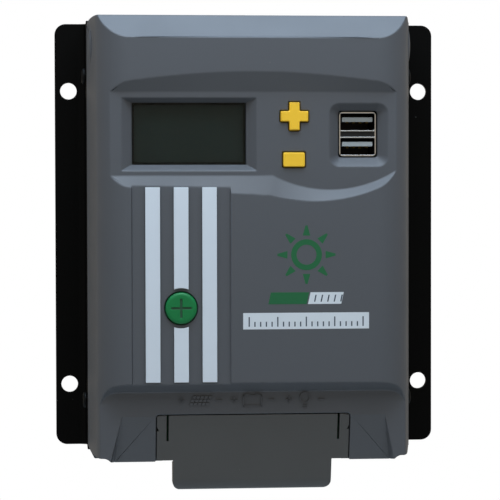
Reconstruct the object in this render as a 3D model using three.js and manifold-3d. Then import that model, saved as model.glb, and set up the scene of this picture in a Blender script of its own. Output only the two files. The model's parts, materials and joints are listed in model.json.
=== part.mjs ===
// A wall-mounted solar charge controller with a display, three buttons, two USB sockets and
// six wire terminals under a cover that slides off.
//
// Millimetres. X points right, +Z points up, and the front faces -Y. The wall is the plane Y = 0,
// and the origin lies on it, in the middle of the four mounting holes. A "height" in this file is
// a distance out from the wall: a point at height h has Y = -h.

import * as THREE from 'three';
import { mergeVertices } from 'three/addons/utils/BufferGeometryUtils.js';
import { ConvexGeometry } from 'three/addons/geometries/ConvexGeometry.js';
import Module from 'manifold-3d';

const wasm = await Module();
wasm.setup();

// ---------------------------------------------------------------- driving dimensions

const GAP = 0.3; // clearance between neighbouring pieces
const ROUND = 20; // sides of a visible round piece
const SMALL_ROUND = 12; // sides of a small round piece

const BASE = { halfWidth: 69.15, bottom: -75.3, top: 77.6, plate: 2.4, corner: 4 };
const MOUNTING_HOLE = { x: 64.2, z: 53.3, radius: 3 };
const SIDE_WALL = { outer: 58, inner: 56, height: 19, foot: 1.5 };
const BACK_GROOVE = { width: 4, depth: 0.6, first: 16, pitch: 9, count: 4 };

const COVER = { bottom: -78.3, top: 78.5, wall: 2.2, seat: SIDE_WALL.height + GAP, skirt: 2.8 };
const COVER_HALF_WIDTH = 57.9; // where the cover meets the base
const COVER_SHOULDER = { x: 55.0, height: 35.0 }; // top of the nearly straight side
const COVER_BEND = { x: 52.5, height: 42.6 }; // the round shoulder heads for this point
const COVER_FACE = { x: 43.6, height: 43.2, crown: 43.9 };
const COVER_CORNER = { top: 3, bottom: 5 };
const TOP_BEVEL = { outerHeight: 36, innerZ: 70.4 };
const SIDE_BOSS = { x: 56.6, height: 26, z: 68.5, halfLength: 7, halfWidth: 2.4, rise: 0.7 };
const COVER_TAB = { innerX: 50, back: 8.5, front: 26, halfHeight: 3.6 }; // takes a cover screw

// The space inside the cover, as heights and Z values of its side view from the top downwards.
const HOLLOW = {
  underTop: 33.8, // height at the upper end wall, below the sloping band
  underFace: 40.6, bandEnd: 68.8, faceEnd: 60.5, // below the plain upper part of the face
  recessStart: 58.5, recessEnd: 14.5, // below the display recess
  underPanel: 41, panelStart: 10, panelEnd: -46.5, // below the stripes
  underShelf: 34.4, shelfStart: -51.5, shelfEnd: -58.5, // below the wiring shelf
  underPocket: 32, pocketStart: -60, lowEnd: 28,
};

const RECESS = { floor: 41.0, ceiling: 37.7, top: 51.6, bottom: 22.4, slope: 3.8 };
const RECESS_ARC = { x: 26.95, z: 60.3, radius: 42.9, startX: 6.5, endX: 60 };
const RECESS_RIM = 43; // height where the sloping walls of the recess end

const SHELF = { halfWidth: 53, wallTop: -49.9, start: -53.3, end: -62, height: 37, lowHeight: 33 };
const SHELF_CORNER = 5;
const POCKET = { halfWidth: 34.3, opening: 31.5, top: -61.3, sill: 5, depth: 2.5 };

// The terminal cover: a T seen from the front, rolled back at its lower edge.
const LID = {
  wide: 34, narrow: 28.1, shoulder: -77.9, low: -89.1, corner: 3, sheet: 2,
  bendStart: -84.5, lipHeight: 24, cheekTop: -79.2,
};
const LID_SLOT = { x: 30.2, width: 0.8, end: -70.9 }; // beside each snap finger
const LID_NOTCH = { bottom: -67, top: -64.5, depth: 0.7 };
const LID_INSET = 0.1; // the lid's face lies this much behind the face around it

const WINDOW = { left: -42.4, right: -2.7, bottom: 26.3, top: 47.8 };
const WINDOW_FRAME = { left: -46.3, right: 1.0, bottom: 24.05, top: 49.45 };
const USB = { x: 36.8, z: 36.9, width: 13.1, height: 15.6, front: 37.5, opening: 6.2, metal: 0.4 };
const USB_FRAME = { left: 26.35, right: 47.2, bottom: 25.5, top: 47.6, corner: 3.5 };

const STRIPE_PANEL = { left: -42.7, right: -8.5, bottom: -50, top: 18.8, floor: 42.9 };
const STRIPE = { width: 5.1, first: -38.1, pitch: 9.87, bottom: -49.4, top: 18.7, face: 43.9 };
const STRIPE_GAP_RADIUS = 7; // round gap in the middle stripe, about the menu button

const PRESS = 0.6; // travel of each button
const FLANGE = { plusHalf: 6, minusWidth: 10.4, minusHeight: 7.6, menuRadius: 7.2, thickness: 1.4 };
const STEM_RADIUS = 2;
const PLUS = { x: 14.1, z: 43.0, width: 9.7, arm: 3.6, face: 42.0 };
const MINUS = { x: 13.95, z: 27.9, width: 7.6, height: 5.0, face: 41.9 };
const MENU = { x: -25.75, z: -23.6, radius: 5.5, face: 44.4, flangeTop: 41 };

const CONTROL_BOARD = { halfWidth: 48.5, bottom: -32, top: 54, back: 16, front: 17.6 };
const MAIN_BOARD = { halfWidth: 53, bottom: -75.5, top: 70, back: 6, front: 7.6 };
const COVER_SCREW = { z: 58.2, height: 12, headRadius: 2.9, headLength: 1.3, radius: 1.5 };
const BOARD_SCREW = { x: 46, upper: 64, lower: -44, headRadius: 2.8, radius: 1.3 };
const POST = { x: 46.5, z: 5, radius: 3, top: 41.5 }; // in the cover, for the control board
const POST_THREAD = { radius: 1.4, end: 27 };
const CAPACITOR = { pitch: 22, z: -42, radius: 6.2, top: 28 };
const MOSFET = { count: 4, first: -32, pitch: 17, length: 15, thickness: 4.4, top: 18.7 };
const CLAMP_BAR = { thickness: 1.5, back: 10, front: 15.5, bottom: -34, top: 36 };
const INDUCTOR = { x: 30, z: 40, radius: 5, core: 2.5, winding: 4.6, flange: 1.4, length: 7.4 };

const TERMINALS = 6;
const TERMINAL = { pitch: 10.2, halfWidth: 31, bottom: -76.8, top: -62.2, back: 7.9, front: 30 };
const TERMINAL_SCREW_Z = -70.5;
const CAGE = { width: 6.6, length: 8, tall: 9.5, rest: 10.3, side: 0.8, floor: 1, roof: 2.4 };
const CELL = { halfWidth: 3.8, front: 24.8, top: -65, shaft: 2.4, shaftBack: 20 };
const CLAMP_SCREW = { head: 3.3, headBack: 26.4, headFront: 29.2, shank: 1.8, end: 17, slot: 1 };

// ---------------------------------------------------------------- shape helpers

// A closed three.js geometry as a solid that can be joined and cut.
function solidOf(geometry) {
  geometry.deleteAttribute('normal');
  geometry.deleteAttribute('uv');
  const merged = mergeVertices(geometry, 1e-4);
  const corners = merged.index.array;
  const triangles = [];
  for (let i = 0; i < corners.length; i += 3) {
    const [a, b, c] = [corners[i], corners[i + 1], corners[i + 2]];
    if (a !== b && b !== c && c !== a) triangles.push(a, b, c);
  }
  return new wasm.Manifold(new wasm.Mesh({
    numProp: 3,
    vertProperties: new Float32Array(merged.attributes.position.array),
    triVerts: new Uint32Array(triangles),
  }));
}

function geometryOf(solid) {
  const mesh = solid.getMesh();
  const geometry = new THREE.BufferGeometry();
  geometry.setAttribute('position', new THREE.BufferAttribute(mesh.vertProperties.slice(), 3));
  geometry.setIndex(new THREE.BufferAttribute(mesh.triVerts.slice(), 1));
  geometry.computeVertexNormals();
  return geometry;
}

function join(...solids) {
  return solids.reduce((whole, solid) => whole.add(solid));
}

function cut(solid, ...tools) {
  return tools.reduce((rest, tool) => rest.subtract(tool), solid);
}

// A box between two X values, two heights and two Z values.
function block([x0, x1], [h0, h1], [z0, z1]) {
  const geometry = new THREE.BoxGeometry(x1 - x0, h1 - h0, z1 - z0);
  geometry.translate((x0 + x1) / 2, -(h0 + h1) / 2, (z0 + z1) / 2);
  return solidOf(geometry);
}

// A round bar that points out of the wall, at (x, z), between two heights.
function barOut(x, z, radius, [h0, h1], sides = ROUND) {
  const geometry = new THREE.CylinderGeometry(radius, radius, h1 - h0, sides);
  geometry.translate(x, -(h0 + h1) / 2, z);
  return solidOf(geometry);
}

// A round bar along X, at a height and a Z value.
function barAcross(height, z, radius, [x0, x1], sides = SMALL_ROUND) {
  const geometry = new THREE.CylinderGeometry(radius, radius, x1 - x0, sides);
  geometry.rotateZ(Math.PI / 2);
  geometry.translate((x0 + x1) / 2, -height, z);
  return solidOf(geometry);
}

function shapeOf(points) {
  return new THREE.Shape(points.map(([a, b]) => new THREE.Vector2(a, b)));
}

// An outline of (x, z) points or a Shape, as thick as the space between two heights.
function slab(outline, [h0, h1], curveSegments = 6) {
  const shape = outline instanceof THREE.Shape ? outline : shapeOf(outline);
  const options = { depth: h1 - h0, bevelEnabled: false, curveSegments };
  const geometry = new THREE.ExtrudeGeometry(shape, options);
  geometry.rotateX(Math.PI / 2);
  geometry.translate(0, -h0, 0);
  return solidOf(geometry);
}

// A section of (x, height) points, drawn along Z.
function extrusion(section, [z0, z1]) {
  const shape = shapeOf(section.map(([x, h]) => [x, -h]));
  const geometry = new THREE.ExtrudeGeometry(shape, { depth: z1 - z0, bevelEnabled: false });
  geometry.translate(0, 0, z0);
  return solidOf(geometry);
}

// A side profile of (height, z) points, drawn along X.
function profile(points, [x0, x1]) {
  const shape = shapeOf(points.map(([h, z]) => [-h, z]));
  const geometry = new THREE.ExtrudeGeometry(shape, { depth: x1 - x0, bevelEnabled: false });
  const axes = new THREE.Matrix4().makeBasis(
    new THREE.Vector3(0, 1, 0), new THREE.Vector3(0, 0, 1), new THREE.Vector3(1, 0, 0));
  geometry.applyMatrix4(axes);
  geometry.translate(x0, 0, 0);
  return solidOf(geometry);
}

// A rectangle with rounded corners: one radius for the top pair and one for the bottom pair.
function roundedRectangle([x0, x1], [z0, z1], topRadius, bottomRadius = topRadius) {
  const shape = new THREE.Shape();
  shape.moveTo(x0 + bottomRadius, z0);
  shape.lineTo(x1 - bottomRadius, z0);
  shape.absarc(x1 - bottomRadius, z0 + bottomRadius, bottomRadius, -Math.PI / 2, 0);
  shape.lineTo(x1, z1 - topRadius);
  shape.absarc(x1 - topRadius, z1 - topRadius, topRadius, 0, Math.PI / 2);
  shape.lineTo(x0 + topRadius, z1);
  shape.absarc(x0 + topRadius, z1 - topRadius, topRadius, Math.PI / 2, Math.PI);
  shape.lineTo(x0, z0 + bottomRadius);
  shape.absarc(x0 + bottomRadius, z0 + bottomRadius, bottomRadius, Math.PI, Math.PI * 1.5);
  return shape;
}

// A funnel: the convex space between one outline at a low height and a wider one above it.
function funnel(lowOutline, lowHeight, highOutline, highHeight) {
  const corners = [];
  for (const point of lowOutline.getPoints(4)) {
    corners.push(new THREE.Vector3(point.x, -lowHeight, point.y));
  }
  for (const point of highOutline.getPoints(4)) {
    corners.push(new THREE.Vector3(point.x, -highHeight, point.y));
  }
  return solidOf(new ConvexGeometry(corners));
}

function material(name, colour, roughness, metalness = 0) {
  return new THREE.MeshStandardMaterial({ name, color: colour, roughness, metalness });
}

const BLACK_ALUMINIUM = material('black_aluminium', 0x141413, 0.45, 0.6);
const GREY_PLASTIC = material('grey_plastic', 0x4c5157, 0.5);
const DARK_PLASTIC = material('dark_plastic', 0x393a3a, 0.5);
const GLASS = material('glass', 0x303836, 0.15);
const LIQUID_CRYSTAL = material('liquid_crystal', 0x4a5450, 0.4);
const WHITE_PLASTIC = material('white_plastic', 0xdcdcd6, 0.5);
const YELLOW_RUBBER = material('yellow_rubber', 0xf3c23c, 0.5);
const GREEN_PLASTIC = material('green_plastic', 0x176940, 0.45);
const SILVER_PLASTIC = material('silver_plastic', 0xb4c3cf, 0.45);
const STEEL = material('steel', 0xc4c6c8, 0.3, 1);
const BLACK_STEEL = material('black_steel', 0x1c1c1c, 0.35, 0.9);
const TONGUE_PLASTIC = material('tongue_plastic', 0x7a7f80, 0.5);
const GREEN_BOARD = material('green_board', 0x1d5a35, 0.5);
const BLACK_PLASTIC = material('black_plastic', 0x161616, 0.5);
const TERMINAL_GREEN = material('terminal_green', 0x1f7a4a, 0.5);
const ALUMINIUM_CAN = material('aluminium_can', 0x9aa0a6, 0.35, 0.8);
const FERRITE = material('ferrite', 0x2c2c2e, 0.7);
const COPPER = material('copper', 0xb06a34, 0.35, 1);

const controller = new THREE.Group();
controller.name = 'charge_controller';

// Adds one named piece to a group. The piece may be a solid or a geometry.
function addPiece(group, name, piece, finish, position = [0, 0, 0]) {
  const geometry = piece.isBufferGeometry ? piece : geometryOf(piece);
  const mesh = new THREE.Mesh(geometry, finish);
  mesh.name = name;
  mesh.position.set(...position);
  group.add(mesh);
}

function addGroup(name) {
  const group = new THREE.Group();
  group.name = name;
  controller.add(group);
  return group;
}

// ---------------------------------------------------------------- aluminium base

// One length of extruded aluminium: a plate with ears and two side walls. Milled afterwards:
// rounded corners, mounting holes, screw holes in the walls and threaded posts for the board.
function heatsinkBase() {
  const { halfWidth, plate, bottom, top, corner } = BASE;
  const { outer, inner, height, foot } = SIDE_WALL;
  const rightHalf = [
    [halfWidth, 0], [halfWidth, plate], [outer + foot, plate], [outer, plate + foot],
    [outer, height], [inner, height], [inner, plate],
  ];
  const leftHalf = rightHalf.map(([x, h]) => [-x, h]).reverse();
  const bar = extrusion([...rightHalf, ...leftHalf], [bottom, top]);
  const outline = roundedRectangle([-halfWidth, halfWidth], [bottom, top], corner);
  let base = bar.intersect(slab(outline, [-1, height + 1]));

  for (const side of [-1, 1]) {
    for (let i = 0; i < BACK_GROOVE.count; i += 1) {
      const x = side * (BACK_GROOVE.first + i * BACK_GROOVE.pitch);
      const edges = [x - BACK_GROOVE.width / 2, x + BACK_GROOVE.width / 2];
      base = cut(base, block(edges, [-1, BACK_GROOVE.depth], [bottom - 1, top + 1]));
    }
    for (const z of [-MOUNTING_HOLE.z, MOUNTING_HOLE.z]) {
      const hole = barOut(side * MOUNTING_HOLE.x, z, MOUNTING_HOLE.radius, [-1, plate + 1]);
      base = cut(base, hole);
    }
    for (const z of [-COVER_SCREW.z, COVER_SCREW.z]) {
      const reach = [side * (inner - 1), side * (outer + 1)].sort((a, b) => a - b);
      base = cut(base, barAcross(COVER_SCREW.height, z, COVER_SCREW.radius + GAP, reach));
    }
    for (const z of [BOARD_SCREW.lower, BOARD_SCREW.upper]) {
      const x = side * BOARD_SCREW.x;
      const post = barOut(x, z, 3.5, [plate - 0.2, MAIN_BOARD.back - GAP]);
      const thread = barOut(x, z, BOARD_SCREW.radius + GAP, [plate + 0.4, MAIN_BOARD.back]);
      base = cut(base.add(post), thread);
    }
  }
  return base;
}

// ---------------------------------------------------------------- front cover

// Section of the cover: a nearly upright side, a round shoulder and a slightly crowned face.
function coverSection(inset, lowHeight) {
  const curve = new THREE.QuadraticBezierCurve(
    new THREE.Vector2(COVER_SHOULDER.x - inset, COVER_SHOULDER.height),
    new THREE.Vector2(COVER_BEND.x - inset, COVER_BEND.height - inset),
    new THREE.Vector2(COVER_FACE.x - inset, COVER_FACE.height - inset));
  const right = [[COVER_HALF_WIDTH - inset, lowHeight], [COVER_HALF_WIDTH - inset, COVER.seat]];
  for (const point of curve.getPoints(5)) {
    right.push([point.x, point.y]);
  }
  right.push([COVER_FACE.x / 2, COVER_FACE.height + 0.5 - inset]);
  const left = right.map(([x, h]) => [-x, h]).reverse();
  return [...right, [0, COVER_FACE.crown - inset], ...left];
}

// The hollow inside the cover, cut to the inner section and to a side view that steps down.
function coverHollow() {
  const sideView = [
    [0, COVER.bottom + COVER.wall], [0, COVER.top - COVER.wall],
    [HOLLOW.underTop, COVER.top - COVER.wall], [HOLLOW.underFace, HOLLOW.bandEnd],
    [HOLLOW.underFace, HOLLOW.faceEnd],
    [RECESS.ceiling, HOLLOW.recessStart], [RECESS.ceiling, HOLLOW.recessEnd],
    [HOLLOW.underPanel, HOLLOW.panelStart], [HOLLOW.underPanel, HOLLOW.panelEnd],
    [HOLLOW.underShelf, HOLLOW.shelfStart], [HOLLOW.underShelf, HOLLOW.shelfEnd],
    [HOLLOW.underPocket, HOLLOW.pocketStart], [HOLLOW.lowEnd, COVER.bottom + COVER.wall],
  ];
  const section = coverSection(COVER.wall, -1);
  return profile(sideView, [-60, 60]).intersect(extrusion(section, [-80, 80]));
}

// The stepped-down area of the face that holds the display, two buttons and the USB sockets. Its
// lower edge is straight on the left and a wide arc on the right.
function recessCutter() {
  const { x, z, radius, startX, endX } = RECESS_ARC;
  const outline = [[endX, RECESS.top], [-endX, RECESS.top], [-endX, RECESS.bottom]];
  const steps = 9;
  for (let i = 0; i <= steps; i += 1) {
    const px = startX + (endX - startX) * i / steps;
    outline.push([px, z - Math.sqrt(radius ** 2 - (px - x) ** 2)]);
  }
  const rise = RECESS_RIM - RECESS.floor;
  const geometry = new THREE.ExtrudeGeometry(shapeOf(outline), {
    depth: 10, bevelEnabled: true, bevelThickness: rise, bevelSize: RECESS.slope,
    bevelSegments: 1,
  });
  geometry.rotateX(Math.PI / 2);
  geometry.translate(0, -RECESS_RIM, 0);
  return solidOf(geometry).intersect(block([-80, 80], [0, RECESS_RIM + 8], [-80, 80]));
}

// Height of the sloping face below the wiring shelf.
function facetHeight(z) {
  const slope = (SHELF.height - SHELF.lowHeight) / (SHELF.end - COVER.bottom);
  return SHELF.height - Math.max(0, SHELF.end - z) * slope;
}

function shelfCutter() {
  const sideView = [
    [60, SHELF.wallTop], [COVER_FACE.crown, SHELF.wallTop], [SHELF.height, SHELF.start],
    [SHELF.height, SHELF.end], [facetHeight(-90), -90], [60, -90],
  ];
  const { halfWidth, wallTop } = SHELF;
  const outline = roundedRectangle([-halfWidth, halfWidth], [-95, wallTop], SHELF_CORNER, 1);
  return profile(sideView, [-60, 60]).intersect(slab(outline, [20, 61]));
}

// The pocket for the terminal cover: a shallow seat for its wings and an opening behind it.
function pocketCutter() {
  const seat = [
    [60, POCKET.top], [facetHeight(POCKET.top) - POCKET.depth, POCKET.top],
    [facetHeight(-90) - POCKET.depth, -90], [60, -90],
  ];
  const { halfWidth, opening, sill, top } = POCKET;
  const way = block([-opening, opening], [sill, 50], [-90, top]);
  return join(profile(seat, [-halfWidth, halfWidth]), way);
}

function plusOutline(width, arm) {
  const [w, a] = [width / 2, arm / 2];
  return [
    [PLUS.x - w, PLUS.z - a], [PLUS.x - a, PLUS.z - a], [PLUS.x - a, PLUS.z - w],
    [PLUS.x + a, PLUS.z - w], [PLUS.x + a, PLUS.z - a], [PLUS.x + w, PLUS.z - a],
    [PLUS.x + w, PLUS.z + a], [PLUS.x + a, PLUS.z + a], [PLUS.x + a, PLUS.z + w],
    [PLUS.x - a, PLUS.z + w], [PLUS.x - a, PLUS.z + a], [PLUS.x - w, PLUS.z + a],
  ];
}

function minusOutline(width, height) {
  return roundedRectangle(
    [MINUS.x - width / 2, MINUS.x + width / 2],
    [MINUS.z - height / 2, MINUS.z + height / 2], 0.4);
}

function outlineOf({ left, right, bottom, top }, corner) {
  return roundedRectangle([left, right], [bottom, top], corner);
}

function usbOutline(margin) {
  return {
    left: USB.x - USB.width / 2 - margin,
    right: USB.x + USB.width / 2 + margin,
    bottom: USB.z - USB.height / 2 - margin,
    top: USB.z + USB.height / 2 + margin,
  };
}

// Openings in the floor of the recess and in the face.
function faceCutters() {
  const above = RECESS.floor + 0.01;
  const below = RECESS.ceiling - 1;
  const windowFrame = funnel(
    outlineOf(WINDOW, 0.5), RECESS.ceiling, outlineOf(WINDOW_FRAME, 0.8), above);
  const usbHole = usbOutline(GAP);
  const usbFrame = funnel(
    outlineOf(usbHole, 0.8), RECESS.ceiling, outlineOf(USB_FRAME, USB_FRAME.corner), above);
  const panel = STRIPE_PANEL;
  return [
    windowFrame,
    slab(outlineOf(WINDOW, 0.5), [below, above]),
    usbFrame,
    slab(outlineOf(usbHole, 0.8), [below, above]),
    slab(plusOutline(PLUS.width + 2 * GAP, PLUS.arm + 2 * GAP), [below, above]),
    slab(minusOutline(MINUS.width + 2 * GAP, MINUS.height + 2 * GAP), [below, above]),
    barOut(MENU.x, MENU.z, MENU.radius + GAP, [38, 46], 28),
    block([panel.left, panel.right], [panel.floor, 46], [panel.bottom, panel.top]),
  ];
}

// A long low bump on the side of the cover, above the upper screw.
function sideBoss(side) {
  const { x, height, z, halfLength, halfWidth, rise } = SIDE_BOSS;
  const sunk = 0.6;
  const geometry = new THREE.SphereGeometry(1, 10, 6);
  geometry.scale(rise + sunk, halfWidth, halfLength);
  geometry.translate(side * (x - sunk), -height, z);
  return solidOf(geometry);
}

function frontCover() {
  const { bottom, top, seat, skirt, wall } = COVER;
  const insideWalls = SIDE_WALL.inner - GAP;
  const shell = extrusion(coverSection(0, seat - 0.1), [bottom, top]);
  const corners = COVER_CORNER;
  const outline = roundedRectangle(
    [-COVER_HALF_WIDTH, COVER_HALF_WIDTH], [bottom, top], corners.top, corners.bottom);
  const body = shell.intersect(slab(outline, [seat, 50]));
  const bevel = profile([
    [60, TOP_BEVEL.innerZ], [COVER_FACE.height, TOP_BEVEL.innerZ],
    [TOP_BEVEL.outerHeight, top], [TOP_BEVEL.outerHeight, top + 5], [60, top + 5],
  ], [-60, 60]);
  const endWallX = [-insideWalls, insideWalls];
  const upperEnd = block(endWallX, [skirt, seat + 1], [top - wall, top]);
  const lowerEnd = block(endWallX, [skirt, seat + 1], [bottom, bottom + wall]);
  const hollowShell = join(cut(body, coverHollow()), upperEnd, lowerEnd);
  let cover = cut(hollowShell, bevel, recessCutter(), shelfCutter(), pocketCutter());
  cover = cut(cover, ...faceCutters());

  for (const side of [-1, 1]) {
    for (const z of [-COVER_SCREW.z, COVER_SCREW.z]) {
      const tabX = [side * COVER_TAB.innerX, side * insideWalls].sort((a, b) => a - b);
      const tabZ = [z - COVER_TAB.halfHeight, z + COVER_TAB.halfHeight];
      const tab = block(tabX, [COVER_TAB.back, COVER_TAB.front], tabZ);
      const pilot = barAcross(COVER_SCREW.height, z, COVER_SCREW.radius + GAP, [-60, 60]);
      cover = join(cover, cut(tab, pilot));
    }
    const x = side * POST.x;
    const post = barOut(x, POST.z, POST.radius, [CONTROL_BOARD.front + GAP, POST.top]);
    const thread = barOut(x, POST.z, POST_THREAD.radius, [0, POST_THREAD.end], SMALL_ROUND);
    cover = join(cover, cut(post, thread), sideBoss(side));
  }
  return cover;
}

// ---------------------------------------------------------------- terminal cover

// A T-shaped lid that slides down and off. Its lower edge rolls back over the wires, and two
// fingers beside the slots spring outwards into the pocket.
function terminalCover() {
  const { wide, narrow, shoulder, low, corner, sheet, bendStart, lipHeight, cheekTop } = LID;
  const top = POCKET.top - GAP;
  const height = (z) => facetHeight(z) - LID_INSET;
  const bendHeight = height(bendStart);
  const sideView = [
    [height(top), top], [bendHeight, bendStart],
    [bendHeight - 1.2, low + 1.9], [bendHeight - 3.6, low + 0.4], [lipHeight, low],
    [lipHeight, low + sheet], [bendHeight - 4, low + sheet],
    [bendHeight - sheet, bendStart], [height(top) - sheet, top],
  ];
  const tee = new THREE.Shape();
  tee.moveTo(-wide, top);
  tee.lineTo(-wide, shoulder);
  tee.lineTo(-narrow, shoulder);
  tee.lineTo(-narrow, low + corner);
  tee.absarc(-narrow + corner, low + corner, corner, Math.PI, Math.PI * 1.5);
  tee.lineTo(narrow - corner, low);
  tee.absarc(narrow - corner, low + corner, corner, -Math.PI / 2, 0);
  tee.lineTo(narrow, shoulder);
  tee.lineTo(wide, shoulder);
  tee.lineTo(wide, top);
  let lid = profile(sideView, [-wide, wide]);
  for (const side of [-1, 1]) {
    const cheekX = [side * (narrow - sheet), side * narrow].sort((a, b) => a - b);
    const cheekLow = low + 1.1;
    const cheek = [
      [height(cheekTop) - 1, cheekTop], [bendHeight - 1, bendStart],
      [bendHeight - 3.6, cheekLow], [lipHeight, cheekLow], [lipHeight, cheekTop],
    ];
    lid = join(lid, profile(cheek, cheekX));
  }
  lid = lid.intersect(slab(tee, [0, 50]));
  for (const side of [-1, 1]) {
    const middle = side * LID_SLOT.x;
    const slotX = [middle - LID_SLOT.width / 2, middle + LID_SLOT.width / 2];
    const notchX = [side * (wide - LID_NOTCH.depth), side * (wide + 1)].sort((a, b) => a - b);
    lid = cut(
      lid, block(slotX, [0, 50], [LID_SLOT.end, top + 1]),
      block(notchX, [0, 50], [LID_NOTCH.bottom, LID_NOTCH.top]));
  }
  return lid;
}

// ---------------------------------------------------------------- display

function addDisplay() {
  const display = addGroup('display');
  const margin = 1.6;
  const [x0, x1] = [WINDOW.left - margin, WINDOW.right + margin];
  const [z0, z1] = [WINDOW.bottom - margin, WINDOW.top + margin];
  const front = RECESS.ceiling - GAP;
  addPiece(display, 'lcd_window', block([x0, x1], [front - 1.2, front], [z0, z1]), GLASS);
  const panel = block([x0, x1], [front - 3.9, front - 1.5], [z0, z1]);
  addPiece(display, 'lcd_panel', panel, LIQUID_CRYSTAL);
  const backlight = block([x0 - 1, x1 + 1], [front - 9, front - 4.2], [z0, z1 + 1]);
  addPiece(display, 'lcd_backlight', backlight, WHITE_PLASTIC);
}

// ---------------------------------------------------------------- buttons and switches

const SWITCH = { size: 6, top: 21.4, well: 18.8, plungerRadius: 1.7, plungerTop: 24 };

// A cap in its hole, a flange behind the wall that keeps it in, and a stem down to the switch.
function button(cap, flange, { x, z }, stemTop) {
  const stem = barOut(x, z, STEM_RADIUS, [SWITCH.plungerTop + GAP, stemTop], SMALL_ROUND);
  return join(cap, flange, stem);
}

function addButtons() {
  const keys = addGroup('keys');
  const flangeTop = RECESS.ceiling - GAP;
  const flangeHeights = [flangeTop - FLANGE.thickness, flangeTop];
  const half = FLANGE.plusHalf;
  const plusFlange = block(
    [PLUS.x - half, PLUS.x + half], flangeHeights, [PLUS.z - half, PLUS.z + half]);
  const plusCap = slab(plusOutline(PLUS.width, PLUS.arm), [flangeTop - 1, PLUS.face]);
  addPiece(keys, 'plus_button', button(plusCap, plusFlange, PLUS, flangeTop - 1), YELLOW_RUBBER);

  const minusFlange = slab(minusOutline(FLANGE.minusWidth, FLANGE.minusHeight), flangeHeights);
  const minusCap = slab(minusOutline(MINUS.width, MINUS.height), [flangeTop - 1, MINUS.face]);
  const minus = button(minusCap, minusFlange, MINUS, flangeTop - 1);
  addPiece(keys, 'minus_button', minus, YELLOW_RUBBER);

  const menuTop = MENU.flangeTop - GAP;
  const menuCap = barOut(MENU.x, MENU.z, MENU.radius, [menuTop - 1, MENU.face], 28);
  const menuFlange = barOut(
    MENU.x, MENU.z, FLANGE.menuRadius, [menuTop - FLANGE.thickness, menuTop], 28);
  const menu = button(menuCap, menuFlange, MENU, menuTop - 1);
  addPiece(keys, 'menu_button', menu, GREEN_PLASTIC);

  for (const [name, { x, z }] of Object.entries({ plus: PLUS, minus: MINUS, menu: MENU })) {
    const side = SWITCH.size / 2;
    const bodyHeights = [CONTROL_BOARD.front + GAP, SWITCH.top];
    const body = block([x - side, x + side], bodyHeights, [z - side, z + side]);
    const well = barOut(x, z, SWITCH.plungerRadius + 0.4, [SWITCH.well, 23], SMALL_ROUND);
    addPiece(keys, `${name}_switch_body`, cut(body, well), BLACK_PLASTIC);
    const plunger = barOut(
      x, z, SWITCH.plungerRadius, [SWITCH.well + PRESS + 0.6, SWITCH.plungerTop], SMALL_ROUND);
    addPiece(keys, `${name}_switch_plunger`, plunger, BLACK_PLASTIC);
  }
}

// ---------------------------------------------------------------- stripes on the face

function addStripes() {
  const trim = addGroup('trim');
  const left = STRIPE.first;
  const heights = [STRIPE_PANEL.floor + GAP, STRIPE.face];
  const strip = (index) => {
    const x = left + index * STRIPE.pitch;
    return block([x, x + STRIPE.width], heights, [STRIPE.bottom, STRIPE.top - GAP]);
  };
  const middle = cut(strip(1), barOut(MENU.x, MENU.z, STRIPE_GAP_RADIUS, [40, 46], 28));
  const upperHalf = block([-60, 0], [40, 46], [MENU.z, 60]);
  addPiece(trim, 'stripe_left', strip(0), SILVER_PLASTIC);
  addPiece(trim, 'stripe_right', strip(2), SILVER_PLASTIC);
  addPiece(trim, 'stripe_middle_upper', middle.intersect(upperHalf), SILVER_PLASTIC);
  addPiece(trim, 'stripe_middle_lower', cut(middle, upperHalf), SILVER_PLASTIC);
}

// ---------------------------------------------------------------- USB sockets

function addUsbSockets() {
  const sockets = addGroup('usb_sockets');
  const { x, z, width, front, opening, metal } = USB;
  const outer = usbOutline(0);
  const shellBack = CONTROL_BOARD.front + GAP;
  const centre = USB.height / 2 - metal - opening / 2;
  const halfInside = width / 2 - metal;
  let shell = slab(outlineOf(outer, 0.5), [shellBack, front]);
  for (const [name, side] of [['upper', 1], ['lower', -1]]) {
    const middle = z + side * centre;
    const insideZ = [middle - opening / 2, middle + opening / 2];
    shell = cut(shell, block([x - halfInside, x + halfInside], [shellBack + 1, 40], insideZ));
    const root = block(
      [x - halfInside + GAP, x + halfInside - GAP], [shellBack + 1.3, shellBack + 4.5],
      [insideZ[0] + GAP, insideZ[1] - GAP]);
    const tongue = block([x - 5.4, x + 5.4], [shellBack + 4, front - 0.7], [middle, middle + 1.6]);
    addPiece(sockets, `usb_insulator_${name}`, join(root, tongue), TONGUE_PLASTIC);
  }
  addPiece(sockets, 'usb_shell', shell, STEEL);
}

// ---------------------------------------------------------------- boards and parts on them

function screw({ headRadius, radius }, headLength, length) {
  const slotHalf = 0.4;
  const head = barOut(0, 0, headRadius, [0, headLength], SMALL_ROUND);
  const shank = barOut(0, 0, radius, [-length, 0.2], SMALL_ROUND);
  const depth = [headLength - 0.7, headLength + 1];
  const crossUp = block([-slotHalf, slotHalf], depth, [-headRadius * 0.6, headRadius * 0.6]);
  const crossOver = block([-headRadius * 0.6, headRadius * 0.6], depth, [-slotHalf, slotHalf]);
  return cut(join(head, shank), crossUp, crossOver);
}

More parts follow.
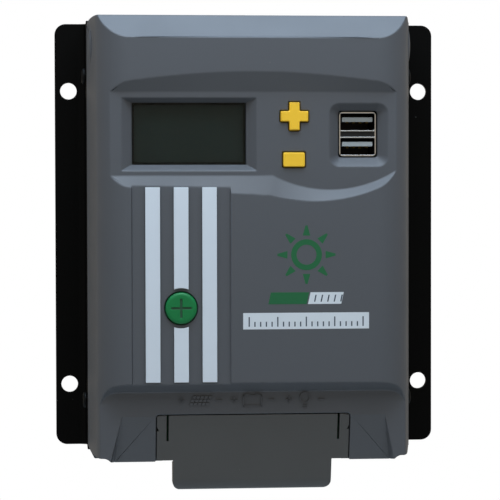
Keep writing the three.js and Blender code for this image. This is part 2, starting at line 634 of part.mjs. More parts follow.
function addBoards() {
  const boards = addGroup('boards');
  const control = CONTROL_BOARD;
  const main = MAIN_BOARD;
  let controlBoard = block(
    [-control.halfWidth, control.halfWidth], [control.back, control.front],
    [control.bottom, control.top]);
  let mainBoard = block(
    [-main.halfWidth, main.halfWidth], [main.back, main.front], [main.bottom, main.top]);
  let number = 0;
  for (const side of [-1, 1]) {
    controlBoard = cut(controlBoard, barOut(side * POST.x, POST.z, 1.5, [10, 20], SMALL_ROUND));
    for (const z of [BOARD_SCREW.lower, BOARD_SCREW.upper]) {
      number += 1;
      const x = side * BOARD_SCREW.x;
      mainBoard = cut(mainBoard, barOut(x, z, BOARD_SCREW.radius + GAP, [0, 10], SMALL_ROUND));
      const position = [x, -(main.front + GAP), z];
      addPiece(boards, `board_screw_${number}`, screw(BOARD_SCREW, 2, 4.2), STEEL, position);
    }
  }
  addPiece(boards, 'control_board', controlBoard, GREEN_BOARD);
  addPiece(boards, 'main_board', mainBoard, GREEN_BOARD);
  [-1, 1].forEach((side, index) => {
    const piece = geometryOf(screw({ headRadius: 2.2, radius: 1 }, 1.8, 7.5));
    piece.rotateX(Math.PI);
    const position = [side * POST.x, -(control.back - GAP), POST.z];
    addPiece(boards, `control_board_screw_${index + 1}`, piece, STEEL, position);
  });
  const header = block([12, 32], [main.front + GAP, control.back - GAP], [5, 10]);
  addPiece(boards, 'board_connector', header, BLACK_PLASTIC);
  const chip = block([-12, 0], [control.front + GAP, control.front + 1.9], [-20, -8]);
  addPiece(boards, 'controller_chip', chip, BLACK_PLASTIC);
}

function addPowerParts() {
  const power = addGroup('power');
  const seat = MAIN_BOARD.front + GAP;
  [-1, 0, 1].forEach((place, index) => {
    const x = place * CAPACITOR.pitch;
    const can = barOut(x, CAPACITOR.z, CAPACITOR.radius, [seat, CAPACITOR.top]);
    addPiece(power, `capacitor_${index + 1}`, can, ALUMINIUM_CAN);
  });
  const wall = -SIDE_WALL.inner + GAP; // the transistors give their heat to the left side wall
  const outer = wall + MOSFET.thickness;
  for (let i = 0; i < MOSFET.count; i += 1) {
    const z = MOSFET.first + i * MOSFET.pitch;
    const body = block([wall, outer], [seat + 0.4, MOSFET.top], [z, z + MOSFET.length]);
    addPiece(power, `mosfet_${i + 1}`, body, BLACK_PLASTIC);
  }
  const bar = block(
    [outer + GAP, outer + GAP + CLAMP_BAR.thickness], [CLAMP_BAR.back, CLAMP_BAR.front],
    [CLAMP_BAR.bottom, CLAMP_BAR.top]);
  addPiece(power, 'mosfet_clamp_bar', bar, STEEL);

  const { x, z, radius, core, winding, flange, length } = INDUCTOR;
  const drum = join(
    barOut(x, z, radius, [seat, seat + flange]),
    barOut(x, z, core, [seat + 1, seat + length - 1]),
    barOut(x, z, radius, [seat + length - flange, seat + length]));
  addPiece(power, 'inductor_core', drum, FERRITE);
  const around = [seat + flange + 0.4, seat + length - flange - 0.4];
  const coil = cut(
    barOut(x, z, winding, around), barOut(x, z, core + 0.4, [seat, seat + length]));
  addPiece(power, 'inductor_winding', coil, COPPER);
}

// ---------------------------------------------------------------- terminals

// The insulating block has six cells, each open below for the wire and in front for the screw.
function terminalBlock(centres) {
  const { halfWidth, bottom, top, back, front } = TERMINAL;
  let body = block([-halfWidth, halfWidth], [back, front], [bottom, top]);
  for (const x of centres) {
    const cell = block(
      [x - CELL.halfWidth, x + CELL.halfWidth], [CAGE.rest - 0.4, CELL.front],
      [bottom - 1, CELL.top]);
    const shaft = barOut(
      x, TERMINAL_SCREW_Z, CELL.shaft, [CELL.shaftBack, front], SMALL_ROUND);
    const well = barOut(
      x, TERMINAL_SCREW_Z, CLAMP_SCREW.head + 0.5, [CLAMP_SCREW.headBack - 0.4, front + 1], 16);
    body = cut(body, cell, shaft, well);
  }
  return body;
}

// A slotted screw that turns in place, with its head in the well of the block.
function terminalScrew() {
  const { head, headBack, headFront, shank, end, slot } = CLAMP_SCREW;
  const top = barOut(0, 0, head, [headBack, headFront], 16);
  const shaft = barOut(0, 0, shank, [end, headBack + 0.2], SMALL_ROUND);
  return cut(join(top, shaft), block([-slot / 2, slot / 2], [headFront - 1, 30], [-4, 4]));
}

// A steel cage that the screw draws outwards, so that it squeezes the wire.
function terminalClamp() {
  const { width, length, tall, rest, side, floor, roof } = CAGE;
  const half = width / 2;
  const cage = block([-half, half], [rest, rest + tall], [-length / 2, length / 2]);
  const wireWay = block([-half + side, half - side], [rest + floor, rest + tall - roof], [-9, 9]);
  const hole = barOut(0, 0, CLAMP_SCREW.shank + 0.35, [rest + 4, rest + tall + 1], SMALL_ROUND);
  return cut(cage, wireWay, hole);
}

function addTerminals() {
  const terminals = addGroup('terminals');
  const centres = [];
  for (let i = 0; i < TERMINALS; i += 1) {
    centres.push((i - (TERMINALS - 1) / 2) * TERMINAL.pitch);
  }
  addPiece(terminals, 'terminal_block', terminalBlock(centres), TERMINAL_GREEN);
  centres.forEach((x, index) => {
    const position = [x, 0, TERMINAL_SCREW_Z];
    addPiece(terminals, `terminal_screw_${index + 1}`, terminalScrew(), STEEL, position);
    addPiece(terminals, `terminal_clamp_${index + 1}`, terminalClamp(), STEEL, position);
  });
}

// ---------------------------------------------------------------- case and assembly

function addCase() {
  const housing = addGroup('housing');
  addPiece(housing, 'heatsink_base', heatsinkBase(), BLACK_ALUMINIUM);
  addPiece(housing, 'front_cover', frontCover(), GREY_PLASTIC);
  addPiece(housing, 'terminal_cover', terminalCover(), DARK_PLASTIC);
  let number = 0;
  for (const side of [-1, 1]) {
    for (const z of [-COVER_SCREW.z, COVER_SCREW.z]) {
      number += 1;
      const piece = geometryOf(screw(COVER_SCREW, COVER_SCREW.headLength, 6));
      piece.rotateZ(side * Math.PI / 2);
      const position = [side * (SIDE_WALL.outer + GAP), -COVER_SCREW.height, z];
      addPiece(housing, `cover_screw_${number}`, piece, BLACK_STEEL, position);
    }
  }
}

addCase();
addDisplay();
addButtons();
addStripes();
addUsbSockets();
addBoards();
addPowerParts();
addTerminals();

export default controller;
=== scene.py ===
# %% [markdown]
# # A solar charge controller, made piece by piece
#
# This lesson dresses a finished CAD model of a wall-mounted solar charge controller. The CAD fixes
# where everything is and how it moves. Here each visible piece gets its fine shape and its finish.
# The front faces -Y, Z points up, and the wall is the plane Y = 0.

# %% Load the fixed frame
import json
import math

import bmesh
import bpy
from mathutils import Matrix, Vector
from mathutils.bvhtree import BVHTree


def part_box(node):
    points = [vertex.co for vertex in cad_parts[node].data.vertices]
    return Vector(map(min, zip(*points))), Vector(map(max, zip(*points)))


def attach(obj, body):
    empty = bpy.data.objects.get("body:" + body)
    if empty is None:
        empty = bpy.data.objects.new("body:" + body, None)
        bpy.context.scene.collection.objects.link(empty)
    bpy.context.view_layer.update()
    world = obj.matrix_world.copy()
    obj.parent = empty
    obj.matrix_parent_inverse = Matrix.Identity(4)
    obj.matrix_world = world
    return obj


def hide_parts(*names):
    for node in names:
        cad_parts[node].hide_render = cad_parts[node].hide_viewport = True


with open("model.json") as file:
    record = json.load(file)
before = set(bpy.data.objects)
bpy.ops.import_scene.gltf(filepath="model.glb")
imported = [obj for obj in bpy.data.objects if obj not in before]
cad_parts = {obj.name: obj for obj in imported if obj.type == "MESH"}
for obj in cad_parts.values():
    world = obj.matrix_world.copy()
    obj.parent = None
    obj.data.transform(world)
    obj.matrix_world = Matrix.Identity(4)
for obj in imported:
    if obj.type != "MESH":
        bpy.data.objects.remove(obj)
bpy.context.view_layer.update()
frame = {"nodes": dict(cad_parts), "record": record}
MM = 0.001

# %% [markdown]
# ## Places on the object
#
# It is easier to think of this object as a drawing on the wall with heights above it. So every
# point here is (x, height, z) in millimetres, and one function turns it into metres in the frame.
# `span` reads a CAD node's box in the same terms.

# %% Points and boxes in millimetres


def at(x, height, z):
    return Vector((x, -height, z)) * MM


def span(node):
    low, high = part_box(node)
    return {
        "x": (low.x / MM, high.x / MM),
        "h": (-high.y / MM, -low.y / MM),
        "z": (low.z / MM, high.z / MM),
    }


def middle(pair):
    return (pair[0] + pair[1]) / 2


def centre(node):
    shape = span(node)
    return {"x": middle(shape["x"]), "z": middle(shape["z"])}


COVER = span("front_cover")
BASE = span("heatsink_base")
print("cover:", {k: [round(v, 1) for v in pair] for k, pair in COVER.items()})

# %% [markdown]
# ## Solids from outlines
#
# Nearly every moulded piece starts as a flat outline with a few corners. A vertex bevel rounds the
# corners, and an extrusion gives the thickness. Three small functions draw the outline in the
# three directions that a moulding tool is cut from: from the front, from the end and from the side.

# %% Outline, extrusion and bridge helpers


def flat_face(mesh, points, rounds=0.0, segments=6):
    """A face through the points. rounds is one radius, or one for each corner, in millimetres."""
    corners = [mesh.verts.new(point) for point in points]
    mesh.faces.new(corners)
    radii = rounds if isinstance(rounds, (list, tuple)) else [rounds] * len(corners)
    for radius in sorted(set(radii)):
        chosen = [corner for corner, own in zip(corners, radii) if own == radius]
        if radius > 0:
            bmesh.ops.bevel(mesh, geom=chosen, offset=radius * MM, segments=segments,
                            profile=0.5, affect="VERTICES", material=-1)


def drawn_out(points, along, rounds=0.0, segments=6):
    """A solid: the outline, drawn out along a vector in metres."""
    mesh = bmesh.new()
    flat_face(mesh, points, rounds, segments)
    made = bmesh.ops.extrude_face_region(mesh, geom=mesh.faces[:])
    moved = [part for part in made["geom"] if isinstance(part, bmesh.types.BMVert)]
    bmesh.ops.translate(mesh, vec=along, verts=moved)
    return mesh


def from_front(outline, heights, rounds=0.0, segments=6):
    points = [at(x, heights[0], z) for x, z in outline]
    return drawn_out(points, at(0, heights[1] - heights[0], 0), rounds, segments)


def from_end(outline, zs, rounds=0.0, segments=6):
    points = [at(x, height, zs[0]) for x, height in outline]
    return drawn_out(points, at(0, 0, zs[1] - zs[0]), rounds, segments)


def from_side(outline, xs, rounds=0.0, segments=6):
    points = [at(xs[0], height, z) for height, z in outline]
    return drawn_out(points, at(xs[1] - xs[0], 0, 0), rounds, segments)


def rectangle(xs, zs):
    return [(xs[0], zs[0]), (xs[1], zs[0]), (xs[1], zs[1]), (xs[0], zs[1])]


def grown(pair, margin):
    return (pair[0] - margin, pair[1] + margin)


def funnel(low, low_height, high, high_height, low_round, high_round, segments=6):
    """The space between two outlines with as many corners, one above the other."""
    mesh = bmesh.new()
    flat_face(mesh, [at(x, low_height, z) for x, z in low], low_round, segments)
    flat_face(mesh, [at(x, high_height, z) for x, z in high], high_round, segments)
    bmesh.ops.bridge_loops(mesh, edges=mesh.edges[:])
    return mesh


# %% [markdown]
# ## Round pieces
#
# Screw heads, buttons and cans are turned: a profile of (radius, height) points, spun about its
# axis. The profile starts and ends on the axis, so that the spin closes the shape.

# %% Turned pieces


def turned(profile, x, z, sides=48):
    mesh = bmesh.new()
    points = [mesh.verts.new(at(x + radius, height, z)) for radius, height in profile]
    edges = [mesh.edges.new(pair) for pair in zip(points, points[1:])]
    bmesh.ops.spin(mesh, geom=points + edges, cent=at(x, 0, z), axis=(0, 1, 0),
                   angle=math.tau, steps=sides, use_merge=True)
    bmesh.ops.remove_doubles(mesh, verts=mesh.verts[:], dist=0.002 * MM)
    return mesh


def disc(radius, x, z, heights, sides=48):
    profile = [(0, heights[0]), (radius, heights[0]), (radius, heights[1]), (0, heights[1])]
    return turned(profile, x, z, sides)


# %% [markdown]
# ## Cutting and joining
#
# Openings are cut with Boolean modifiers, and the result is written back into the mesh. Afterwards
# a narrow bevel breaks every sharp edge, as a mould does, and weighted normals keep the flat faces
# flat beside it.

# %% Booleans and soft edges
SHARP_ANGLE = math.radians(38)
MANY_CORNERS = 24
# A corner further from the old surface than this share of the bevel's width is a stray.
STRAY_SHARE = 0.5


def as_object(mesh, name):
    bmesh.ops.recalc_face_normals(mesh, faces=mesh.faces[:])
    data = bpy.data.meshes.new(name)
    mesh.to_mesh(data)
    mesh.free()
    thing = bpy.data.objects.new(name, data)
    bpy.context.scene.collection.objects.link(thing)
    return thing


def mesh_of(thing):
    """The mesh of a helper object, which is then removed."""
    mesh = bmesh.new()
    mesh.from_mesh(thing.data)
    bpy.data.objects.remove(thing)
    return mesh


def settled(thing):
    """Writes an object's modifiers into its mesh."""
    bpy.context.view_layer.update()
    seen = thing.evaluated_get(bpy.context.evaluated_depsgraph_get())
    old = thing.data
    thing.data = bpy.data.meshes.new_from_object(seen)
    thing.data.name = thing.name
    thing.modifiers.clear()
    bpy.data.meshes.remove(old)
    return thing


def combine(thing, meshes, operation):
    for mesh in meshes:
        tool = as_object(mesh, "tool")
        step = thing.modifiers.new("cut", "BOOLEAN")
        step.operation = operation
        step.solver = "EXACT"
        step.object = tool
        settled(thing)
        bpy.data.objects.remove(tool)
    return thing


def cut(thing, *meshes):
    return combine(thing, meshes, "DIFFERENCE")


def keep_inside(thing, *meshes):
    return combine(thing, meshes, "INTERSECT")


def join(thing, *meshes):
    return combine(thing, meshes, "UNION")


def cleaned(thing):
    mesh = bmesh.new()
    mesh.from_mesh(thing.data)
    bmesh.ops.remove_doubles(mesh, verts=mesh.verts[:], dist=0.01 * MM)
    bmesh.ops.dissolve_limit(mesh, angle_limit=math.radians(0.4), verts=mesh.verts[:],
                             edges=mesh.edges[:])
    # A face with many corners and notches is split into convex ones, which round cleanly.
    notched = [face for face in mesh.faces if len(face.verts) > MANY_CORNERS]
    bmesh.ops.connect_verts_concave(mesh, faces=notched)
    mesh.to_mesh(thing.data)
    mesh.free()
    return thing


def flatten(thing):
    """Lets the large faces set the shading, so they look flat beside their rounded edges."""
    flat = thing.modifiers.new("flat faces", "WEIGHTED_NORMAL")
    flat.keep_sharp = True
    flat.use_face_influence = True


def soft_edges(thing, width, segments=3, angle=28):
    """Rounds the edges with modifiers that stay live."""
    step = thing.modifiers.new("soft edges", "BEVEL")
    step.width = width * MM
    step.segments = segments
    step.limit_method = "ANGLE"
    step.angle_limit = math.radians(angle)
    step.use_clamp_overlap = False
    step.loop_slide = False
    step.face_strength_mode = "FSTR_ALL"
    thing.data.shade_smooth()
    flatten(thing)
    return thing


def rounded(thing, width, segments=3, angle=28):
    """Rounds the edges and writes the result. A corner that the bevel threw off is put back."""
    before = BVHTree.FromObject(thing, bpy.context.evaluated_depsgraph_get())
    corners = [corner.co.copy() for corner in thing.data.vertices]
    low = [min(corner[axis] for corner in corners) for axis in range(3)]
    high = [max(corner[axis] for corner in corners) for axis in range(3)]
    soft_edges(thing, width, segments, angle)
    thing.modifiers.remove(thing.modifiers["flat faces"])
    settled(thing)
    strays = 0
    for corner in thing.data.vertices:
        near, normal, face, distance = before.find_nearest(corner.co)
        if distance > STRAY_SHARE * width * MM:
            corner.co = near
            strays += 1
        for axis in range(3):
            corner.co[axis] = min(max(corner.co[axis], low[axis]), high[axis])
    print(thing.name, "corners put back:", strays)
    thing.data.shade_smooth()
    thing.data.set_sharp_from_angle(angle=SHARP_ANGLE)
    flatten(thing)
    return thing


# %% [markdown]
# ## Finishes
#
# Real moulded plastic is never one colour: the mould has a fine spark texture, the colour drifts
# a little, and hands leave it slightly shinier in places. Four small node groups make those
# effects once, and each material uses them with its own values. They read Object coordinates, so
# the pattern is fixed to the piece when it moves.

# %% Node helpers and effect groups


def new_group(name, inputs, outputs):
    tree = bpy.data.node_groups.new(name, "ShaderNodeTree")
    for label, value in inputs.items():
        socket = tree.interface.new_socket(label, in_out="INPUT", socket_type="NodeSocketFloat")
        socket.default_value = value
    for label in outputs:
        tree.interface.new_socket(label, in_out="OUTPUT", socket_type="NodeSocketFloat")
    return tree, tree.nodes.new("NodeGroupInput"), tree.nodes.new("NodeGroupOutput")


def add_node(tree, kind, inputs=None, **settings):
    node = tree.nodes.new(kind)
    for label, value in settings.items():
        setattr(node, label, value)
    for label, value in (inputs or {}).items():
        if isinstance(value, bpy.types.NodeSocket):
            tree.links.new(value, node.inputs[label])
        else:
            node.inputs[label].default_value = value
    return node


def noise_group(name, size, result, detail, roughness, operation, stretch=(1.0, 1.0, 1.0)):
    """Noise on Object coordinates. Its one input is a count for each mm, or a size in mm."""
    tree, given, made = new_group(name, size, [result])
    place = add_node(tree, "ShaderNodeTexCoord")
    drawn = add_node(tree, "ShaderNodeMapping", {"Vector": place.outputs["Object"],
                     "Scale": stretch})
    scale = add_node(tree, "ShaderNodeMath", {0: 1000.0, 1: given.outputs[0]},
                     operation=operation)
    noise = add_node(tree, "ShaderNodeTexNoise", {"Vector": drawn.outputs["Vector"],
                     "Scale": scale.outputs[0], "Detail": detail, "Roughness": roughness})
    tree.links.new(noise.outputs["Fac"], made.inputs[result])
    return tree


def specks_group():
    """A few pale dust specks: 1 on a speck and 0 elsewhere."""
    tree, given, result = new_group("Dust specks", {"Spacing mm": 9.0, "Size": 0.035}, ["Mask"])
    place = add_node(tree, "ShaderNodeTexCoord")
    scale = add_node(tree, "ShaderNodeMath", {0: 1000.0, 1: given.outputs["Spacing mm"]},
                     operation="DIVIDE")
    cells = add_node(tree, "ShaderNodeTexVoronoi", {"Vector": place.outputs["Object"],
                     "Scale": scale.outputs[0], "Randomness": 1.0})
    close = add_node(tree, "ShaderNodeMath", {0: cells.outputs["Distance"],
                     1: given.outputs["Size"]}, operation="LESS_THAN")
    tree.links.new(close.outputs[0], result.inputs["Mask"])
    return tree


# The pebbled texture that spark erosion leaves in a mould.
SPARK = noise_group("Spark texture", {"Grains per mm": 4.0}, "Height", 2.0, 0.6, "MULTIPLY")
# Slow changes over the surface, from 0 to 1.
DRIFT = noise_group("Colour drift", {"Patch mm": 25.0}, "Amount", 4.0, 0.55, "DIVIDE")
# Lines along Z, as a die leaves them on an extrusion or a brush on a strip.
LINES = noise_group("Drawn lines", {"Lines per mm": 3.0}, "Height", 3.0, 0.6, "MULTIPLY",
                    stretch=(1.0, 1.0, 0.01))
SPECKS = specks_group()

# %% [markdown]
# ## One recipe for plastics, one for metals
#
# A material here is a base colour that drifts between two close shades, a roughness that drifts
# with it, and a bump of the right grain. The dust specks are rare and pale: a black plate without
# them looks drawn rather than real.

# %% Material recipes


def srgb(red, green, blue, alpha=1.0):
    """A colour as it looks on screen, 0 to 255, turned into the linear values that nodes use."""
    def linear(value):
        value /= 255
        return value / 12.92 if value <= 0.04045 else ((value + 0.055) / 1.055) ** 2.4
    return (linear(red), linear(green), linear(blue), alpha)


def use_group(tree, group, **values):
    node = tree.nodes.new("ShaderNodeGroup")
    node.node_tree = group
    for label, value in values.items():
        node.inputs[label.replace("_", " ")].default_value = value
    return node


def surface(name, shade, other_shade, roughness, metallic=0.0, patch=25.0, specular=0.5,
            grain=None, lines=None, bump=0.2, specks=0.0, coat=0.0):
    """A procedural surface. The shades are screen colours, and roughness is a pair, from the
    smooth to the rough patches."""
    material = bpy.data.materials.new(name)
    material.use_nodes = True
    tree = material.node_tree
    shader = tree.nodes["Principled BSDF"]
    drift = use_group(tree, DRIFT, Patch_mm=patch)
    tint = add_node(tree, "ShaderNodeMix", {"Factor": drift.outputs["Amount"]}, data_type="RGBA")
    tint.inputs[6].default_value = srgb(*shade)
    tint.inputs[7].default_value = srgb(*other_shade)
    colour = tint.outputs[2]
    if specks:
        dust = use_group(tree, SPECKS, Size=specks)
        pale = add_node(tree, "ShaderNodeMix", {"Factor": dust.outputs["Mask"]},
                        data_type="RGBA")
        tree.links.new(colour, pale.inputs[6])
        pale.inputs[7].default_value = srgb(120, 120, 116)
        colour = pale.outputs[2]
    tree.links.new(colour, shader.inputs["Base Color"])
    rough = add_node(tree, "ShaderNodeMapRange", {"Value": drift.outputs["Amount"],
                     "From Min": 0.3, "From Max": 0.7, "To Min": roughness[0],
                     "To Max": roughness[1]})
    tree.links.new(rough.outputs["Result"], shader.inputs["Roughness"])
    shader.inputs["Metallic"].default_value = metallic
    shader.inputs["Specular IOR Level"].default_value = specular
    shader.inputs["Coat Weight"].default_value = coat
    shader.inputs["Coat Roughness"].default_value = 0.12
    height = None
    if grain:
        height = use_group(tree, SPARK, Grains_per_mm=grain).outputs["Height"]
    elif lines:
        height = use_group(tree, LINES, Lines_per_mm=lines).outputs["Height"]
    if height:
        relief = add_node(tree, "ShaderNodeBump", {"Height": height, "Strength": bump,
                          "Distance": 0.02 * MM})
        tree.links.new(relief.outputs["Normal"], shader.inputs["Normal"])
    return material


cover_grey = surface("cover grey", (87, 90, 95), (83, 86, 91), (0.42, 0.52), grain=4.5, bump=0.5,
                     specks=0.018)
terminal_grey = surface("terminal cover grey", (86, 86, 85), (82, 82, 81), (0.44, 0.54), grain=4.5,
                        bump=0.5, specks=0.018, specular=0.45)
anodised_black = surface("anodised black", (9, 9, 8), (6, 6, 6), (0.4, 0.5), lines=2.5, bump=0.3,
                         specks=0.014, specular=0.06)
button_yellow = surface("button yellow", (255, 206, 58), (252, 198, 50), (0.46, 0.56), grain=6.0,
                        bump=0.25, patch=6.0, specular=0.35)
button_green = surface("button green", (10, 124, 66), (8, 116, 60), (0.36, 0.46), grain=6.0,
                       patch=6.0, specular=0.4)
# Darker green for the floor of the pressed-in cross: painted shade in the recess.
cross_shade_green = surface("cross shade green", (38, 84, 58), (34, 78, 54), (0.5, 0.6), patch=6.0, grain=6.0)
stripe_silver = surface("stripe silver", (222, 230, 238), (214, 223, 232), (0.4, 0.5), lines=3.0,
                        bump=0.25, patch=14.0, specular=0.45)
socket_steel = surface("socket steel", (214, 214, 212), (196, 197, 198), (0.16, 0.28), metallic=1.0,
                       lines=4.0, patch=4.0)
screw_steel = surface("screw steel", (206, 207, 208), (184, 186, 188), (0.22, 0.36), metallic=1.0,
                      grain=5.0, bump=0.3, patch=3.0)
black_steel = surface("blackened steel", (16, 16, 16), (11, 11, 11), (0.42, 0.52), grain=5.0,
                      bump=0.3, patch=3.0, specular=0.15)
contact_gold = surface("contact gold", (226, 184, 92), (214, 170, 80), (0.2, 0.3), metallic=1.0,
                       grain=8.0, bump=0.1, patch=2.0)
tongue_grey = surface("tongue grey", (168, 176, 178), (158, 166, 168), (0.4, 0.5), grain=6.0,
                      patch=5.0)
# Real black plastic. Inside the USB ports it also stands for painted shade.
black_plastic_and_shade = surface("moulded black and painted shade", (24, 24, 24), (18, 18, 18), (0.42, 0.55), grain=5.0,
                        bump=0.4, patch=8.0, specular=0.35)
terminal_green = surface("terminal green", (34, 112, 74), (28, 102, 66), (0.4, 0.5), grain=5.0,
                         bump=0.3, patch=8.0)
board_green = surface("board green", (24, 84, 50), (18, 70, 42), (0.3, 0.42), patch=7.0, grain=3.0,
                      bump=0.3, coat=0.3)
can_aluminium = surface("can aluminium", (176, 178, 180), (160, 162, 166), (0.26, 0.4),
                        metallic=1.0, lines=3.0, bump=0.3, patch=6.0)
ferrite_grey = surface("ferrite grey", (52, 52, 54), (44, 44, 46), (0.6, 0.75), patch=4.0,
                       grain=4.0, bump=0.6)
winding_copper = surface("winding copper", (196, 118, 62), (178, 102, 50), (0.24, 0.36),
                         metallic=1.0, grain=3.0, bump=0.4, patch=3.0)
panel_dark = surface("display dark", (43, 54, 53), (39, 49, 48), (0.34, 0.42), patch=30.0,
                     grain=8.0, bump=0.05, specular=0.2)
guide_white = surface("light guide", (222, 222, 216), (212, 212, 206), (0.4, 0.5), grain=5.0,
                      patch=10.0)
print_white = surface("printed white", (222, 229, 235), (215, 223, 230), (0.42, 0.5), grain=6.0,
                      patch=9.0)
print_green = surface("printed green", (22, 104, 62), (18, 96, 56), (0.42, 0.5), grain=6.0,
                      patch=9.0)
print_black = surface("printed black", (20, 23, 22), (17, 20, 19), (0.5, 0.6), patch=9.0, grain=6.0,
                      bump=0.1, specular=0.1)
print_dark = surface("printed dark", (62, 74, 90), (56, 68, 84), (0.42, 0.5), grain=6.0, patch=9.0)


def window_glass():
    """Clear cover pane of the display: mostly see-through, with a soft gloss."""
    material = bpy.data.materials.new("display pane")
    material.use_nodes = True
    tree = material.node_tree
    shader = tree.nodes["Principled BSDF"]
    smear = use_group(tree, DRIFT, Patch_mm=12.0)
    rough = add_node(tree, "ShaderNodeMapRange", {"Value": smear.outputs["Amount"],
                     "To Min": 0.08, "To Max": 0.2})
    tree.links.new(rough.outputs["Result"], shader.inputs["Roughness"])
    shader.inputs["Base Color"].default_value = srgb(232, 238, 235)
    shader.inputs["Transmission Weight"].default_value = 1.0
    shader.inputs["IOR"].default_value = 1.2
    return material


pane_glass = window_glass()
print("materials:", len(bpy.data.materials))

# %% [markdown]
# ## Putting a piece in its place
#
# Every piece gets a material, rides on the CAD body that it moves with, and hides the CAD nodes
# that it stands for.

# %% Finish a piece


def painted(thing, materials, choose):
    """Gives each face materials[choose(x, height, z)], from the middle of the face."""
    thing.data.materials.clear()
    for material in materials:
        thing.data.materials.append(material)
    for face in thing.data.polygons:
        place = face.center / MM
        face.material_index = choose(place.x, -place.y, place.z)
    return thing


def finish_piece(thing, material, body, replaces=()):
    if material:
        thing.data.materials.clear()
        thing.data.materials.append(material)
    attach(thing, body)
    if replaces:
        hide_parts(*replaces)
    print(thing.name, len(thing.data.polygons), "faces")
    return thing


# %% [markdown]
# ## The aluminium base
#
# The real base is a slice of an aluminium extrusion: its section is constant along Z, so it is
# drawn from the end and drawn out. The ear corners and the holes are milled afterwards, which is
# what the intersection and the cuts are. Shallow grooves run along the back.

# %% Base
PLATE = 2.4
WALL = {"outer": 58.0, "inner": 56.0, "top": BASE["h"][1]}
EAR_CORNER = 4.0
HOLE = {"x": 64.2, "z": 53.3, "radius": 3.0}
SIDE_SCREW = {"z": 58.2, "height": 12, "radius": 1.8}
GROOVE = {"first": 16, "step": 9, "mouth": 2, "floor": 1.6, "depth": 0.6}


def mirrored(points):
    """The points, and their mirror images in the other order."""
    return points + [(-x, other) for x, other in reversed(points)]


def make_base():
    half = BASE["x"][1]
    section = mirrored([
        (half, 0), (half, PLATE), (WALL["outer"] + 1.5, PLATE), (WALL["outer"], PLATE + 1.5),
        (WALL["outer"], WALL["top"]), (WALL["inner"], WALL["top"]), (WALL["inner"], PLATE)])
    rounds = [0, 0.5, 1.2, 0.8, 0.3, 0.3, 0.6]
    base = as_object(from_end(section, BASE["z"], rounds + rounds[::-1], 4), "base_extrusion")
    outline = rectangle(BASE["x"], BASE["z"])
    keep_inside(base, from_front(outline, (-1, WALL["top"] + 1), EAR_CORNER, 10))
    for side in (-1, 1):
        for index in range(4):
            x = side * (GROOVE["first"] + GROOVE["step"] * index)
            section = [(x - GROOVE["mouth"], -1), (x + GROOVE["mouth"], -1),
                       (x + GROOVE["floor"], GROOVE["depth"]),
                       (x - GROOVE["floor"], GROOVE["depth"])]
            cut(base, from_end(section, grown(BASE["z"], 1)))
        for z in (-HOLE["z"], HOLE["z"]):
            cut(base, disc(HOLE["radius"], side * HOLE["x"], z, (-1, PLATE + 1)))
        for z in (-SIDE_SCREW["z"], SIDE_SCREW["z"]):
            hole = disc(SIDE_SCREW["radius"], 0, 0, (WALL["inner"] - 1, WALL["outer"] + 1), 24)
            bmesh.ops.rotate(hole, verts=hole.verts[:], cent=(0, 0, 0),
                             matrix=Matrix.Rotation(side * math.pi / 2, 3, "Z"))
            bmesh.ops.translate(hole, vec=at(0, SIDE_SCREW["height"], z), verts=hole.verts[:])
            cut(base, hole)
    return soft_edges(cleaned(base), 0.25)


finish_piece(make_base(), anodised_black, "housing", ["heatsink_base"])

# %% [markdown]
# ## The body of the cover
#
# The cover's section is constant too: a nearly upright side, a round shoulder and a face with a
# slight crown. One vertex bevel makes each shoulder. A rounded outline, seen from the front, then
# trims the corners, and a wedge takes the sloping band off the top edge.

# %% Cover: section and hollow
SHOULDER = (53.35, 42.99)
CROWN = 43.9
CROWN_DROP = 0.65
FACE_HALF = 45.0
SHOULDER_ROUND = 9.7
SHELL = 2.2
TOP = COVER["z"][1]
BOTTOM = COVER["z"][0]
SIDE = COVER["x"][1]
SEAM = WALL["top"] + 0.3
CORNER_ROUNDS = [3, 3.6, 1, 1.2, 1.2, 1, 3.6, 3]
BAND = {"z": 70.4, "height": 43.2, "edge": 36}
# Inner side of the wall, behind the recess, the face, the sloping band and the shelf.
CEILING = 37.7
FACE_CEILING = 41
BAND_CEILING = 40.6
SHELF_CEILING = 34.4
# From side to side, past the cover on both sides.
ACROSS = (-60, 60)


def face_height(x):
    return CROWN - CROWN_DROP * (x / FACE_HALF) ** 2


def cover_section(inset):
    half = [(SIDE - inset, SEAM)]
    if inset:
        half.insert(0, (SIDE - inset, SEAM - 20))
    shoulder = len(half)
    half.append((SHOULDER[0] - inset, SHOULDER[1] - inset))
    half += [(x, face_height(x) - inset) for x in range(42, 0, -7)]
    whole = half + [(0, CROWN - inset)] + [(-x, h) for x, h in reversed(half)]
    rounds = [0] * len(whole)
    rounds[shoulder] = rounds[-1 - shoulder] = SHOULDER_ROUND - inset
    return whole, rounds


def cover_hollow():
    section, rounds = cover_section(SHELL)
    hollow = as_object(from_end(section, (-80, 80), rounds, 6), "hollow")
    side_view = [
        (0, BOTTOM + SHELL), (0, TOP - SHELL), (33.8, TOP - SHELL), (BAND_CEILING, 68.8),
        (BAND_CEILING, 60.5), (CEILING, 58.5), (CEILING, 14.5), (FACE_CEILING, 10),
        (FACE_CEILING, -46.5), (SHELF_CEILING, -51.5), (SHELF_CEILING, -58.5), (32, -60),
        (28, BOTTOM + SHELL)]
    return mesh_of(keep_inside(hollow, from_side(side_view, ACROSS)))


